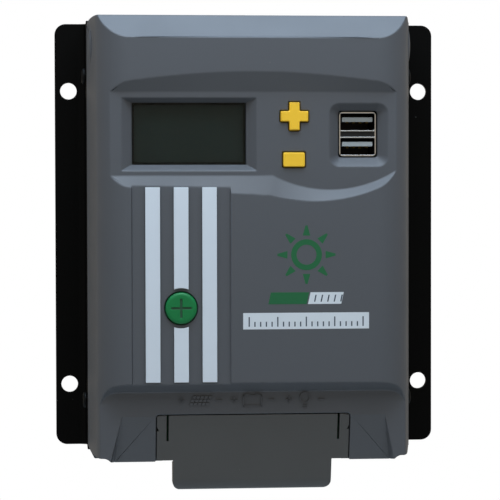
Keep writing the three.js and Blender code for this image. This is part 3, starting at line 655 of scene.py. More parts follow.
def cover_body():
    section, rounds = cover_section(0)
    body = as_object(from_end(section, (BOTTOM, TOP), rounds, 14), "cover_shell")
    half = [(SIDE, TOP), (SIDE, BOTTOM + 1.8), (51.6, BOTTOM + 1.7), (49.6, BOTTOM)]
    keep_inside(body, from_front(mirrored(half), (SEAM - 1, 50), CORNER_ROUNDS, 8))
    band = [(60, BAND["z"]), (BAND["height"], BAND["z"]), (BAND["edge"], TOP),
            (BAND["edge"], TOP + 5), (60, TOP + 5)]
    cut(body, cover_hollow(), from_side(band, ACROSS))
    inside = grown((-WALL["inner"], WALL["inner"]), -0.3)
    ends = [(BOTTOM, BOTTOM + SHELL), (TOP - SHELL, TOP)]
    join(body, *[from_front(rectangle(inside, zs), (2.8, SEAM + 2)) for zs in ends])
    return body


# %% [markdown]
# ## The display recess
#
# A stepped-down area holds the display, the two yellow buttons and the USB sockets. Its floor is
# flat and its walls slope. The upper lip is a long shallow arc, and the lower edge is straight on
# the left and a wide arc on the right. So the cutter is one outline on the floor and a wider one
# above the face, with the same number of points, and a straight wall between each pair.

# %% Cover: recess, shelf and pocket cutters
FLOOR = 41.0
RECESS_TOP = 51.6
RECESS_BOTTOM = 22.4
FLOOR_ARC = {"x": 26.95, "z": 60.3, "radius": 42.9, "start": 6.5}
LIP_ARC = {"x": 23.0, "z": 69.9, "radius": 55.7, "start": 5.0}
LIP_HEIGHT = 43.2
# The upper lip is a bow, and the straight part of the lower lip falls a little to the right.
LIP_BOW = {"top": 56.85, "x": -1, "bend": 1080}
LIP_STRAIGHT = {"z": 18.9, "fall": 1.55, "steps": 12}
# The cutter's wall goes on past the lip in the same direction, to well above the face.
PAST_LIP = 1.7


def arc_z(arc, x):
    return arc["z"] - math.sqrt(arc["radius"] ** 2 - (x - arc["x"]) ** 2)


def recess_cutter(steps=30):
    reach = 62.0
    low, high = [], []
    for step in range(steps + 1):
        x = reach - 2 * reach * step / steps
        low.append((x, RECESS_TOP))
        high.append((x, LIP_BOW["top"] - (x - LIP_BOW["x"]) ** 2 / LIP_BOW["bend"]))
    for step in range(LIP_STRAIGHT["steps"]):
        share = step / LIP_STRAIGHT["steps"]
        low.append((-reach + share * (reach + FLOOR_ARC["start"]), RECESS_BOTTOM))
        high.append((-reach + share * (reach + LIP_ARC["start"]),
                     LIP_STRAIGHT["z"] - LIP_STRAIGHT["fall"] * share))
    for points, arc in ((low, FLOOR_ARC), (high, LIP_ARC)):
        for step in range(steps + 1):
            x = arc["start"] + step / steps * (reach - arc["start"])
            points.append((x, arc_z(arc, x)))
    above = [(a + PAST_LIP * (c - a), b + PAST_LIP * (d - b))
             for (a, b), (c, d) in zip(low, high)]
    return funnel(low, FLOOR, above, FLOOR + PAST_LIP * (LIP_HEIGHT - FLOOR), 0, 0)


SHELF_HEIGHT = 37.0
FACET_SLOPE = 4.0 / 16.3
FACET_START = -62.0
FACET_END = -92
FACET_CORNER = 46.5
FACET_FOOT = 50.5
SHELF_FOOT = {"x": 54.4, "z": -53.3}
SHELF_LIP = {"x": 60, "z": -49.4, "height": 44.6}
# Past the lower edge of the cover.
BELOW = -95


def facet_height(z):
    return SHELF_HEIGHT - FACET_SLOPE * max(0.0, FACET_START - z)


def shelf_cutter():
    low = rectangle((-SHELF_FOOT["x"], SHELF_FOOT["x"]), (BELOW, SHELF_FOOT["z"]))
    high = rectangle((-SHELF_LIP["x"], SHELF_LIP["x"]), (BELOW, SHELF_LIP["z"]))
    return funnel(low, SHELF_HEIGHT, high, SHELF_LIP["height"], [1, 1, 7, 7], [1, 1, 9, 9], 10)


def facet_cutter():
    """A wedge that slopes back towards the lower edge, between two slanting sides."""
    mesh = bmesh.new()
    above = 46
    for side in (-1, 1):
        mesh.verts.new(at(side * FACET_CORNER, SHELF_HEIGHT, FACET_START))
        mesh.verts.new(at(side * (FACET_CORNER + 1), above, FACET_START))
        mesh.verts.new(at(side * FACET_FOOT, facet_height(FACET_END), FACET_END))
        mesh.verts.new(at(side * (FACET_FOOT + 5), above, FACET_END))
    bmesh.ops.convex_hull(mesh, input=mesh.verts[:])
    return mesh


POCKET = {"top": -61.3, "low": -90, "half": 34.3, "depth": 2.5}
WAY_HALF = 31.5


def pocket_cutters():
    """The seat of the terminal cover, and the way through to the terminals."""
    top, low = POCKET["top"], POCKET["low"]
    across = (-POCKET["half"], POCKET["half"])
    seat = [(60, top), (facet_height(top) - POCKET["depth"], top),
            (facet_height(low) - POCKET["depth"], low), (60, low)]
    seat_body = as_object(from_side(seat, across), "seat")
    corner = rectangle(across, (BELOW, top))
    keep_inside(seat_body, from_front(corner, (20, 61), [0, 0, 1.2, 1.2], 5))
    way = rectangle((-WAY_HALF, WAY_HALF), (low, top))
    return [mesh_of(seat_body), from_front(way, (5, 50))]


# %% [markdown]
# ## Openings in the face
#
# The display and the USB sockets sit at the bottom of funnels with sloping walls. The buttons get
# plain holes a little larger than their caps, so that a thin dark gap shows around each.

# %% Cover: openings
WINDOW = {"x": (-42.4, -2.7), "z": (26.3, 47.8)}
WINDOW_FRAME = {"x": (-46.3, 1.0), "z": (24.05, 49.45)}
USB = span("usb_shell")
USB_FRAME = {"x": (26.35, 47.2), "z": (25.5, 47.6)}
PLUS = centre("plus_button")
MINUS = centre("minus_button")
MENU = centre("menu_button")
PLUS_SIZE = {"arm": 1.8, "reach": 4.85}
MINUS_SIZE = {"x": 3.8, "z": 2.5}
MENU_RADIUS = 5.5
BUTTON_GAP = 0.3
PANEL = {"x": (-42.7, -8.5), "z": (-50.5, 20.6), "floor": 42.9}
BUMP = {"x": 56.0, "height": 26.0, "z": 68.5, "radii": (1.3, 2.4, 7.0)}
THROUGH = (30, 45)


def plus_outline(margin=0.0):
    """One corner of the cross, turned a quarter three times."""
    arm, reach = PLUS_SIZE["arm"] + margin, PLUS_SIZE["reach"] + margin
    corners = [(-reach, -arm), (-arm, -arm), (-arm, -reach)]
    for quarter in range(3):
        corners += [(-z, x) for x, z in corners[-3:]]
    return [(PLUS["x"] + x, PLUS["z"] + z) for x, z in corners]


def minus_outline(margin=0.0):
    xs, zs = [grown((MINUS[axis], MINUS[axis]), MINUS_SIZE[axis]) for axis in ("x", "z")]
    return rectangle(grown(xs, margin), grown(zs, margin))


def framed_opening(opening, frame_outline, low_round, high_round):
    """A funnel from the recess floor down to the opening, and a straight way below it."""
    over = 1.25
    foot = CEILING + 0.3
    low = rectangle(opening["x"], opening["z"])
    high = [(lx + over * (hx - lx), lz + over * (hz - lz)) for (lx, lz), (hx, hz)
            in zip(low, rectangle(frame_outline["x"], frame_outline["z"]))]
    return [funnel(low, foot, high, foot + over * (FLOOR - foot), low_round, high_round),
            from_front(low, (THROUGH[0], foot + 0.1), low_round)]


def cut_openings(cover):
    usb_hole = {axis: grown(USB[axis], BUTTON_GAP) for axis in ("x", "z")}
    cut(cover, *framed_opening(WINDOW, WINDOW_FRAME, 0.3, 0.5))
    cut(cover, *framed_opening(usb_hole, USB_FRAME, 1.0, 4.2))
    cut(cover, from_front(plus_outline(BUTTON_GAP), THROUGH, 0.3, 2))
    cut(cover, from_front(minus_outline(BUTTON_GAP), THROUGH, 0.3, 2))
    cut(cover, disc(MENU_RADIUS + BUTTON_GAP, MENU["x"], MENU["z"], (36, 50)))
    cut(cover, from_front(rectangle(PANEL["x"], PANEL["z"]), (PANEL["floor"], 50)))


def side_bump(side):
    """A long low bump on the side of the cover, above the upper screw."""
    mesh = bmesh.new()
    bmesh.ops.create_uvsphere(mesh, u_segments=20, v_segments=12, radius=1.0)
    radii = [radius * MM for radius in BUMP["radii"]]
    bmesh.ops.scale(mesh, vec=radii, verts=mesh.verts[:])
    place = at(side * BUMP["x"], BUMP["height"], BUMP["z"])
    bmesh.ops.translate(mesh, vec=place, verts=mesh.verts[:])
    return mesh


def mark_crease(cover):
    """Keeps the crease between the shelf and the facets straight and sharp."""
    # Rounding slides the upper corner of each facet up the shelf. It goes back to the crease.
    for corner in cover.data.vertices:
        x, height, z = abs(corner.co.x / MM), -corner.co.y / MM, corner.co.z / MM
        flat = abs(height - SHELF_HEIGHT) < 0.05
        if flat and abs(x - FACET_CORNER) < 0.8 and FACET_START < z < FACET_START + 1.2:
            corner.co.z = FACET_START * MM
    crease = at(0, SHELF_HEIGHT, FACET_START)
    for edge in cover.data.edges:
        ends = [cover.data.vertices[index].co - crease for index in edge.vertices]
        if all(abs(end.y) < 0.1 * MM and abs(end.z) < 0.1 * MM for end in ends):
            edge.use_edge_sharp = True


def make_cover():
    cover = cover_body()
    cut(cover, recess_cutter(), shelf_cutter(), facet_cutter(), *pocket_cutters())
    cut_openings(cover)
    join(cover, side_bump(-1), side_bump(1))
    rounded(cleaned(cover), 0.4, 4, 15)
    mark_crease(cover)
    return cover


finish_piece(make_cover(), cover_grey, "housing", ["front_cover"])

# %% [markdown]
# ## The terminal cover
#
# A T-shaped lid slides down and off to show the wire terminals. It is moulded with a rolled lower
# edge. A slot beside each wing makes a spring finger, whose notch snaps into the pocket.

# %% Terminal cover
LID = span("terminal_cover")
LID_WIDE = LID["x"][1]
LID_NARROW = 28.1
LID_SHOULDER = -77.9
LID_TOP = LID["z"][1]
LID_LOW = LID["z"][0]
LID_BACK = LID["h"][0]
SHEET = 2.0
CHEEK = {"top": -79.2, "knee": -84.5, "foot": LID_LOW + 1.1}
SLOT = {"x": 30.2, "half": 0.35, "end": -70.9}
NOTCH = {"low": -67.2, "high": -63.6, "depth": 0.8}
THROUGH_LID = (10, 45)


def lid_height(z):
    return facet_height(z) - 0.1


def make_lid():
    side_view = [
        (lid_height(LID_TOP), LID_TOP), (lid_height(LID_LOW), LID_LOW), (LID_BACK, LID_LOW),
        (LID_BACK, LID_LOW + SHEET), (lid_height(LID_LOW) - SHEET, LID_LOW + SHEET),
        (lid_height(LID_TOP) - SHEET, LID_TOP)]
    lid = as_object(from_side(side_view, (-LID_WIDE, LID_WIDE), [0.3, 4.6, 0.5, 0.5, 2.6, 0.3]),
                    "terminal_cover_shell")
    for side in (-1, 1):
        top, knee, foot = CHEEK["top"], CHEEK["knee"], CHEEK["foot"]
        cheek = [(lid_height(top) - 1, top), (lid_height(knee) - 1, knee),
                 (lid_height(knee) - 3.6, foot), (LID_BACK, foot), (LID_BACK, top)]
        walls = sorted((side * LID_NARROW, side * (LID_NARROW - SHEET)))
        join(lid, from_side(cheek, walls))
    half = [(LID_WIDE, LID_TOP), (LID_WIDE, LID_SHOULDER), (LID_NARROW, LID_SHOULDER),
            (LID_NARROW, LID_LOW)]
    rounds = [0.8, 0.3, 0, 3, 3, 0, 0.3, 0.8]
    keep_inside(lid, from_front(mirrored(half), THROUGH_LID, rounds, 8))
    for side in (-1, 1):
        x = side * SLOT["x"]
        slot = rectangle(grown((x, x), SLOT["half"]), (SLOT["end"], LID_TOP + 1))
        edge = side * LID_WIDE
        notch = [(edge + side, NOTCH["high"]), (edge - side * NOTCH["depth"], NOTCH["low"]),
                 (edge + side, NOTCH["low"])]
        cut(lid, from_front(slot, THROUGH_LID), from_front(notch, THROUGH_LID))
    return rounded(cleaned(lid), 0.22)


finish_piece(make_lid(), terminal_grey, "terminal_cover", ["terminal_cover"])

# %% [markdown]
# ## Display window
#
# The window is a pane cut from clear sheet, with a bezel printed on its back. The panel behind it
# stays as the CAD made it.

# %% Display window
PANE = span("lcd_window")
BEZEL_LAP = 0.9


def make_pane():
    outline = rectangle(PANE["x"], PANE["z"])
    return soft_edges(as_object(from_front(outline, PANE["h"], 0.8, 4), "display_pane"), 0.15)


def make_bezel():
    """A thin dark frame between the pane and the panel."""
    heights = (PANE["h"][0] - 0.2, PANE["h"][0] - 0.1)
    frame_print = as_object(from_front(rectangle(PANE["x"], PANE["z"]), heights), "display_bezel")
    view = rectangle(grown(WINDOW["x"], -BEZEL_LAP), grown(WINDOW["z"], -BEZEL_LAP))
    return cut(frame_print, from_front(view, grown(heights, 1), 0.6, 4))


finish_piece(make_pane(), pane_glass, "housing", ["lcd_window"])
finish_piece(make_bezel(), print_black, "housing")

# %% [markdown]
# ## Buttons
#
# The two yellow caps are silicone rubber, moulded with a flange that the case holds behind the
# wall and a stem down to the switch. The menu button is a turned shape with a small cross pressed
# into its face.

# %% Button caps
STEM_RADIUS = 2
MENU_FLANGE = (39.3, 40.7)
CROSS = ((3.5, 0.42), (0.42, 3.3))
CROSS_DEPTH = 0.3


def make_rubber_cap(node, outline, place, cap_round):
    shape = span(node)
    flange_top = CEILING - 0.3
    cap = as_object(from_front(outline, (flange_top - 1, shape["h"][1]), cap_round, 3), node + "_cap")
    flange = rectangle(grown(shape["x"], -0.1), grown(shape["z"], -0.1))
    join(cap, from_front(flange, (flange_top - 1.4, flange_top), 0.6, 3),
         disc(STEM_RADIUS, place["x"], place["z"], (shape["h"][0], flange_top - 1), 24))
    return rounded(cleaned(cap), 0.4)


def make_menu_cap():
    shape = span("menu_button")
    low, face = shape["h"]
    flange = shape["x"][1] - MENU["x"]
    profile = [(0, low), (STEM_RADIUS, low), (STEM_RADIUS, MENU_FLANGE[0]),
               (flange, MENU_FLANGE[0]), (flange, MENU_FLANGE[1]),
               (MENU_RADIUS, MENU_FLANGE[1]), (MENU_RADIUS, face - 0.75),
               (MENU_RADIUS - 0.22, face - 0.3), (MENU_RADIUS - 0.7, face - 0.06),
               (MENU_RADIUS - 1.3, face), (0, face)]
    cap = as_object(turned(profile, MENU["x"], MENU["z"], 64), "menu_button_cap")
    for across, up in CROSS:
        arm = rectangle((MENU["x"] - across, MENU["x"] + across),
                        (MENU["z"] - up, MENU["z"] + up))
        cut(cap, from_front(arm, (face - CROSS_DEPTH, face + 1), 0.15, 3))
    return soft_edges(cleaned(cap), 0.08, 2)


PLUS_CAP = make_rubber_cap("plus_button", plus_outline(), PLUS, 0.3)
MINUS_CAP = make_rubber_cap("minus_button", minus_outline(), MINUS, 0.5)
MENU_CAP = make_menu_cap()
cross_floor = span("menu_button")["h"][1] - 0.2
# The floor of the pressed-in cross is painted darker green as shade.
painted(MENU_CAP, [button_green, cross_shade_green],
        lambda x, h, z: int(cross_floor - 0.2 < h < cross_floor
                            and min(abs(x - MENU["x"]), abs(z - MENU["z"])) < 0.6))
finish_piece(PLUS_CAP, button_yellow, "plus_button", ["plus_button"])
finish_piece(MINUS_CAP, button_yellow, "minus_button", ["minus_button"])
finish_piece(MENU_CAP, None, "menu_button", ["menu_button"])

# %% [markdown]
# ## Stripes
#
# Three silver strips lie in a shallow panel of the face. The middle one is in two halves, with a
# round gap for the button. A loop makes all four from the boxes of the CAD nodes.

# %% Stripes
GAP_RADIUS = 7
for stripe in ("stripe_left", "stripe_right", "stripe_middle_upper", "stripe_middle_lower"):
    shape = span(stripe)
    strip = as_object(from_front(rectangle(shape["x"], shape["z"]), shape["h"]), stripe + "_strip")
    cut(strip, disc(GAP_RADIUS, MENU["x"], MENU["z"], (40, 46), 64))
    rounded(cleaned(strip), 0.16, 2)
    finish_piece(strip, stripe_silver, "housing", [stripe])

# %% [markdown]
# ## USB sockets
#
# A stacked double socket is folded from thin plated steel around two insulators. Each insulator
# has a tongue with four contacts on its lower side, and its root, deep in the port, is painted black
# as shade. The space between the two ports is filled with black plastic, and the steel inside each
# port is painted black as shade.

# %% USB sockets
TONGUES = {name: span("usb_insulator_" + name) for name in ("upper", "lower")}
MOUTH = USB["h"][1]
CAN_WALL = 0.5
BLADE = {"half": 5.4, "thick": 1.6}
CONTACT_PLACES = (-3.5, -1.1, 1.1, 3.5)


def make_shell():
    shell = as_object(from_front(rectangle(USB["x"], USB["z"]), USB["h"], 1.3, 5), "usb_can")
    inside = grown(USB["x"], -CAN_WALL)
    for tongue in TONGUES.values():
        port = rectangle(inside, grown(tongue["z"], 0.15))
        cut(shell, from_front(port, (USB["h"][0] + 1, MOUTH + 1), 0.4, 3))
    gap = (TONGUES["lower"]["z"][1] + 0.55, TONGUES["upper"]["z"][0] - 0.55)
    cut(shell, from_front(rectangle(inside, gap), (MOUTH - 0.5, MOUTH + 1)))
    shell = soft_edges(cleaned(shell), 0.1, 2)
    # The black plastic between the ports is real. The steel walls and back inside each port are
    # painted black as shade.
    xs, zs = grown(USB["x"], -0.3), grown(USB["z"], -0.3)
    return painted(shell, [socket_steel, black_plastic_and_shade], lambda x, h, z: int(
        h < MOUTH - 0.45 and xs[0] < x < xs[1] and zs[0] < z < zs[1]))


def make_tongue(name):
    shape = TONGUES[name]
    foot, tip = shape["h"]
    x, z = middle(shape["x"]), middle(shape["z"])
    root = rectangle(shape["x"], shape["z"])
    tongue = as_object(from_front(root, (foot, foot + 3)), name + "_tongue")
    blade = rectangle((x - BLADE["half"], x + BLADE["half"]), (z, z + BLADE["thick"]))
    join(tongue, from_front(blade, (foot + 2, tip), 0.2, 2))
    soft_edges(cleaned(tongue), 0.12, 2)
    # The root of the tongue, deep in the port, is painted black as shade. The rest of the insulator
    # is grey.
    return painted(tongue, [tongue_grey, black_plastic_and_shade], lambda x, h, z: int(h < foot + 3.2))


def make_contacts(name):
    """Four springy contacts under the tongue."""
    shape = TONGUES[name]
    foot, tip = shape["h"]
    low = middle(shape["z"])
    side_view = [(foot + 3.2, low), (tip - 1.2, low - 0.7), (tip - 0.7, low - 0.25),
                 (tip - 0.9, low + 0.01)]
    contacts = None
    for place in CONTACT_PLACES:
        x = middle(shape["x"]) + place
        strip = from_side(side_view, (x - 0.5, x + 0.5))
        contacts = join(contacts, strip) if contacts else as_object(strip, name + "_contacts")
    return contacts


finish_piece(make_shell(), None, "housing", ["usb_shell"])
for name in ("upper", "lower"):
    finish_piece(make_tongue(name), None, "housing", ["usb_insulator_" + name])
    finish_piece(make_contacts(name), contact_gold, "housing")

# %% [markdown]
# ## Screws
#
# Pan-head screws with a cross recess hold the cover to the base from the sides. Slotted screws
# work the wire clamps. Each kind is turned once and placed by its CAD node.

# %% Screws
PAN = {"shank": 1.5, "head": 2.9, "height": 1.3, "recess": 0.7}
SLOTTED = {"core": 1.55, "thread": 1.8, "pitch": 0.8, "head": 3.3, "height": 2.8, "slot": 1}


def pan_head_screw(node):
    shape = span(node)
    side = 1 if shape["x"][1] > 0 else -1
    length = shape["x"][1] - shape["x"][0]
    shank, head, under = PAN["shank"], PAN["head"], length - PAN["height"]
    profile = [(0, 0), (1.1, 0), (shank, 0.5), (shank, under), (head, under),
               (head, length - 0.75), (2.6, length - 0.3), (2.0, length - 0.06), (0, length)]
    screw = as_object(turned(profile, 0, 0, 32), node + "_fine")
    for outline in (rectangle((-1.5, 1.5), (-0.3, 0.3)), rectangle((-0.3, 0.3), (-1.5, 1.5))):
        cut(screw, from_front(outline, (length - PAN["recess"], length + 1)))
    soft_edges(screw, 0.08, 2)
    turn = Matrix.Rotation(side * math.pi / 2, 4, "Z")
    start = shape["x"][0] if side > 0 else shape["x"][1]
    move = Matrix.Translation(at(start, middle(shape["h"]), middle(shape["z"])))
    screw.data.transform(move @ turn)
    return screw


def slotted_screw(node):
    shape = span(node)
    low, high = shape["h"]
    x, z = middle(shape["x"]), middle(shape["z"])
    thread, head = SLOTTED["thread"], SLOTTED["head"]
    profile = [(0, low), (1.5, low), (thread, low + 0.4)]
    height = low + SLOTTED["pitch"]
    while height < high - 3.4:
        profile += [(thread, height), (SLOTTED["core"], height + 0.35), (thread, height + 0.7)]
        height += SLOTTED["pitch"]
    under = high - SLOTTED["height"]
    profile += [(thread, under), (head, under), (head, high - 0.4), (2.95, high), (0, high)]
    screw = as_object(turned(profile, x, z, 32), node + "_fine")
    slot = rectangle((x - 0.5, x + 0.5), (z - 4, z + 4))
    cut(screw, from_front(slot, (high - SLOTTED["slot"], high + 1)))
    return soft_edges(screw, 0.08, 2)


for number in range(1, 5):
    node = "cover_screw_%d" % number
    finish_piece(pan_head_screw(node), black_steel, "housing", [node])
for number in range(1, 7):
    node = "terminal_screw_%d" % number
    finish_piece(slotted_screw(node), screw_steel, node, [node])

# %% [markdown]
# ## Signs on the wiring shelf
#
# The mould leaves low signs above the terminals: plus and minus beside a small solar panel, a
# battery and a lamp. They stand 0.5 mm high, in the colour of the cover.

# %% Raised signs
SIGN_FOOT = SHELF_HEIGHT - 0.1
SIGN_TOP = SHELF_HEIGHT + 0.5
SIGN_LINE = 0.19


def bar(x0, x1, z0, z1):
    return from_front(rectangle((x0, x1), (z0, z1)), (SIGN_FOOT, SIGN_TOP))


def minus_sign(x, z):
    return [bar(x - 1.15, x + 1.15, z - SIGN_LINE, z + SIGN_LINE)]


def plus_sign(x, z):
    return minus_sign(x, z) + [bar(x - SIGN_LINE, x + SIGN_LINE, z - 1.25, z + 1.25)]


def panel_sign(x, z):
    cells = []
    for row in range(3):
        for column in range(5):
            left = x - 3.6 + 1.4 * column + 0.5 * row
            foot = z - 1.7 + 1.2 * row
            outline = [(left, foot), (left + 1.1, foot), (left + 1.4, foot + 0.9),
                       (left + 0.3, foot + 0.9)]
            cells.append(from_front(outline, (SIGN_FOOT, SIGN_TOP)))
    return cells


def battery_sign(x, z):
    left, right, low, high = x - 3.3, x + 3.3, z - 2.2, z + 1.5
    return [bar(left, right, low, low + 0.3), bar(left, right, high, high + 0.3),
            bar(left, left + 0.3, low, high + 0.3), bar(right - 0.3, right, low, high + 0.3),
            bar(left + 0.9, left + 2.3, high + 0.2, high + 0.8),
            bar(right - 2.3, right - 0.9, high + 0.2, high + 0.8)]


def lamp_sign(x, z):
    ring = as_object(disc(1.9, x, z + 0.7, (SIGN_FOOT, SIGN_TOP), 28), "ring")
    cut(ring, disc(1.55, x, z + 0.7, (SIGN_FOOT - 1, SIGN_TOP + 1), 28))
    return [mesh_of(ring)] + [bar(x - 0.8, x + 0.8, z - 1.6 - 0.6 * row, z - 1.3 - 0.6 * row)
                              for row in range(3)]


def merged(meshes, name):
    """One object from several meshes that needn't be joined into one solid."""
    whole = bmesh.new()
    for mesh in meshes:
        bmesh.ops.recalc_face_normals(mesh, faces=mesh.faces[:])
        data = bpy.data.meshes.new("part")
        mesh.to_mesh(data)
        whole.from_mesh(data)
        mesh.free()
        bpy.data.meshes.remove(data)
    return as_object(whole, name)


SIGN_Z = -56.4
signs = plus_sign(-25.4, SIGN_Z) + panel_sign(-19.0, SIGN_Z) + minus_sign(-12.2, SIGN_Z)
signs += plus_sign(-6.9, SIGN_Z) + battery_sign(-0.4, SIGN_Z) + minus_sign(6.3, SIGN_Z)
signs += plus_sign(12.5, SIGN_Z) + lamp_sign(18.1, SIGN_Z) + minus_sign(24.0, SIGN_Z)
finish_piece(merged(signs, "shelf_signs"), cover_grey, "housing")

# %% [markdown]
# ## Printed marks on the face
#
# Screen printing lays ink a few hundredths of a millimetre thick. The marks here are generic: a
# sun, two blank bars and a scale. They follow the slight crown of the face.

# %% Printed marks
EMBLEM = {"x": 18.0, "z": -5.2}
RING = {"radius": 5.4, "width": 1.9}
RAY = {"foot": 6.7, "tip": 10.2, "foot_half": 1.3, "tip_half": 0.35}
BARS_Z = (-22.4, -18.3)
SCALE = {"x": (-4.2, 40.0), "z": (-31.1, -25.4)}
TICK = {"first": -2.1, "step": 2.0, "half": 0.22, "foot": -30.2, "tall": 3.4, "short": 1.7}
DASH = {"first": 20.6, "step": 2.3, "width": 0.45, "z": (-21.6, -19.2), "lean": 0.5}


def inked(outline, lift=0.03, columns=1):
    """A thin patch of ink that follows the face, cut into columns along X."""
    mesh = bmesh.new()
    flat_face(mesh, [at(x, 0, z) for x, z in outline])
    low = min(x for x, z in outline)
    high = max(x for x, z in outline)
    for step in range(1, columns):
        x = low + (high - low) * step / columns
        bmesh.ops.bisect_plane(mesh, geom=mesh.verts[:] + mesh.edges[:] + mesh.faces[:],
                               plane_co=at(x, 0, 0), plane_no=(1, 0, 0))
    made = bmesh.ops.extrude_face_region(mesh, geom=mesh.faces[:])
    front = {part for part in made["geom"] if isinstance(part, bmesh.types.BMVert)}
    for corner in mesh.verts:
        height = face_height(corner.co.x / MM) + (lift if corner in front else -0.05)
        corner.co.y = -height * MM
    return mesh


def slanted(x0, x1, z0, z1, lean=0.9):
    return [(x0, z0), (x1, z0), (x1 + lean, z1), (x0 + lean, z1)]


def ring_part(x, z, radius, width, start, end, steps=16):
    """A piece of a ring, from one angle to another in degrees."""
    angles = [math.radians(start + (end - start) * step / steps) for step in range(steps + 1)]
    outer = [(x + radius * math.cos(a), z + radius * math.sin(a)) for a in angles]
    inner = [(x + (radius - width) * math.cos(a), z + (radius - width) * math.sin(a))
             for a in reversed(angles)]
    return outer + inner


def sun_emblem(x, z):
    parts = [inked(ring_part(x, z, RING["radius"], RING["width"], turn, turn + 90))
             for turn in (0, 90, 180, 270)]
    for ray in range(8):
        angle = math.radians(45 * ray)
        out = Vector((math.cos(angle), math.sin(angle)))
        across = Vector((-out.y, out.x))
        foot, tip = RAY["foot"] * out, RAY["tip"] * out
        wide, narrow = RAY["foot_half"] * across, RAY["tip_half"] * across
        corners = [foot - wide, tip - narrow, tip + narrow, foot + wide]
        parts.append(inked([(x + corner.x, z + corner.y) for corner in corners]))
    return parts


green_marks = sun_emblem(EMBLEM["x"], EMBLEM["z"])
green_marks.append(inked(slanted(4.6, 18.0, *BARS_Z), columns=3))
white_marks = [inked(slanted(18.5, 30.2, *BARS_Z), columns=3)]
white_marks.append(inked(rectangle(SCALE["x"], SCALE["z"]), columns=10))
dark_marks = []
for tick in range(21):
    x = TICK["first"] + TICK["step"] * tick
    top = TICK["foot"] + (TICK["tall"] if tick % 5 == 0 else TICK["short"])
    outline = rectangle((x - TICK["half"], x + TICK["half"]), (TICK["foot"], top))
    dark_marks.append(inked(outline, 0.05))
for dash in range(5):
    x = DASH["first"] + DASH["step"] * dash
    outline = slanted(x, x + DASH["width"], *DASH["z"], DASH["lean"])
    dark_marks.append(inked(outline, 0.05))
finish_piece(merged(green_marks, "green_print"), print_green, "housing")
finish_piece(merged(white_marks, "white_print"), print_white, "housing")
finish_piece(merged(dark_marks, "dark_print"), print_dark, "housing")

# %% [markdown]
# ## Materials for the CAD nodes that stay
#
# Boards, cans and chips sit inside the case. Their CAD shapes are right, so each one only gets the
# material of its slot in the record.

# %% Materials for the pieces inside
by_slot = {
    "black_aluminium": anodised_black, "cover_plastic": cover_grey,
    "dark_plastic": terminal_grey, "glass": pane_glass, "liquid_crystal": panel_dark,
    "white_plastic": guide_white, "yellow_rubber": button_yellow, "green_plastic": button_green,
    "silver_plastic": stripe_silver, "steel": screw_steel, "tongue_plastic": tongue_grey,
    "black_steel": black_steel,
    "circuit_board": board_green, "black_plastic": black_plastic_and_shade,
    "terminal_plastic": terminal_green, "aluminium_can": can_aluminium,
    "ferrite": ferrite_grey, "copper": winding_copper,
}
for part in frame["record"]["subparts"]:
    node = frame["nodes"][part["node"]]
    node.data.materials.clear()
    node.data.materials.append(by_slot[part["material_slot"]])

# %% [markdown]
# ## Light, floor and camera
#
# The object hangs in soft studio light: a wide cool lamp overhead, a weaker one in front of it,
# and a warm glow from all round that is brightest at the object's own level. The background is
# plain white for the camera only.

# %% World and lamps
GLOW_BELOW = (0.16, 0.13, 0.1, 1)
GLOW_LEVEL = (0.49, 0.43, 0.35, 1)
GLOW_ABOVE = (0.1, 0.13, 0.16, 1)
FLOOR_DROP = 0.26
FLOOR_GLOW = 0.62


def make_world():
    world = bpy.data.worlds.new("studio")
    bpy.context.scene.world = world
    world.use_nodes = True
    tree = world.node_tree
    tree.nodes.clear()
    direction = add_node(tree, "ShaderNodeTexCoord")
    parts = add_node(tree, "ShaderNodeSeparateXYZ", {"Vector": direction.outputs["Generated"]})
    ramp = add_node(tree, "ShaderNodeValToRGB")
    position = add_node(tree, "ShaderNodeMapRange", {"Value": parts.outputs["Z"],
                        "From Min": -1.0, "From Max": 1.0})
    tree.links.new(position.outputs["Result"], ramp.inputs["Fac"])
    stops = ramp.color_ramp.elements
    stops[0].position, stops[0].color = 0.2, GLOW_BELOW
    stops[1].position, stops[1].color = 0.8, GLOW_ABOVE
    level = stops.new(0.5)
    level.color = GLOW_LEVEL
    light = add_node(tree, "ShaderNodeBackground", {"Color": ramp.outputs["Color"]})
    white = add_node(tree, "ShaderNodeBackground", {"Color": (1, 1, 1, 1)})
    seen = add_node(tree, "ShaderNodeLightPath")
    mixed = add_node(tree, "ShaderNodeMixShader", {0: seen.outputs["Is Camera Ray"],
                     1: light.outputs[0], 2: white.outputs[0]})
    add_node(tree, "ShaderNodeOutputWorld", {"Surface": mixed.outputs[0]})


def area_lamp(name, place, target, size, power, colour):
    data = bpy.data.lights.new(name, "AREA")
    data.shape = "RECTANGLE"
    data.size, data.size_y = size
    data.energy = power
    data.color = colour
    lamp = bpy.data.objects.new(name, data)
    bpy.context.scene.collection.objects.link(lamp)
    lamp.location = place
    lamp.rotation_euler = (Vector(target) - Vector(place)).to_track_quat("-Z", "Y").to_euler()


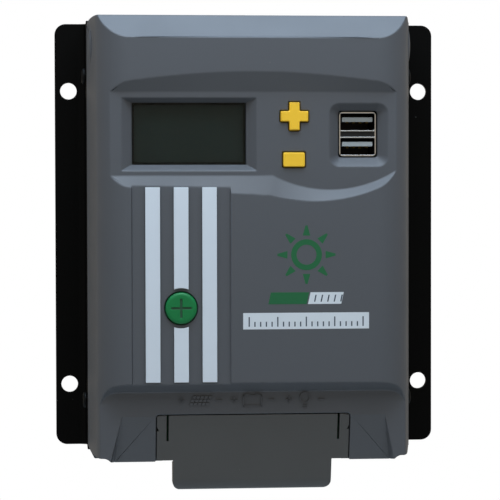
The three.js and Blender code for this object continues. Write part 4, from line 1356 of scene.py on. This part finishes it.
def make_floor():
    mesh = bmesh.new()
    bmesh.ops.create_circle(mesh, cap_ends=True, radius=1.5, segments=96)
    bmesh.ops.translate(mesh, vec=(0, 0, BOTTOM * MM - FLOOR_DROP), verts=mesh.verts[:])
    floor = as_object(mesh, "floor")
    pale = surface("pale floor", (240, 240, 238), (236, 236, 234), (0.6, 0.7), patch=400.0)
    shader = next(node for node in pale.node_tree.nodes if node.type == "BSDF_PRINCIPLED")
    seen = add_node(pale.node_tree, "ShaderNodeLightPath")
    shown = add_node(pale.node_tree, "ShaderNodeMath", {0: seen.outputs["Is Camera Ray"],
                     1: FLOOR_GLOW}, operation="MULTIPLY")
    shader.inputs["Emission Color"].default_value = (1, 1, 0.985, 1)
    pale.node_tree.links.new(shown.outputs[0], shader.inputs["Emission Strength"])
    floor.data.materials.append(pale)


make_world()
area_lamp("overhead", place=(0.0, -0.14, 0.44), target=(0, -0.03, 0), size=(0.55, 0.3),
          power=2.5, colour=(0.8, 1.0, 1.22))
area_lamp("front", place=(0.0, -0.34, 0.40), target=(0, -0.03, 0), size=(0.55, 0.3),
          power=1.1, colour=(0.96, 1.0, 1.04))
make_floor()

# %% [markdown]
# ## The camera
#
# A long lens, 0.8 m away, a little to the left of the object and a little above it.

# %% Camera
DISTANCE = 0.8
LENS = 156.7
TURN = math.radians(5.05)
TILT = math.radians(1.76)
ROLL = math.radians(0.12)
AIM_OFFSET = Vector((-2.11, 4.80, 0.0)) * MM


def make_camera():
    data = bpy.data.cameras.new("camera")
    data.sensor_width = 36.0
    data.lens = LENS
    camera = bpy.data.objects.new("camera", data)
    bpy.context.scene.collection.objects.link(camera)
    # Rows of `view` are the camera's right, up and backward directions, in (x, z, height).
    view = (Matrix.Rotation(ROLL, 3, "Z") @ Matrix.Rotation(TILT, 3, "X")
            @ Matrix.Rotation(TURN, 3, "Y"))
    place = view.transposed() @ (Vector((0, 0, DISTANCE)) - AIM_OFFSET)
    to_frame = Matrix(((1, 0, 0), (0, 0, -1), (0, 1, 0)))
    camera.matrix_world = (to_frame @ view.transposed()).to_4x4()
    camera.location = to_frame @ place
    bpy.context.scene.camera = camera


make_camera()
bpy.context.scene.view_settings.view_transform = "Standard"
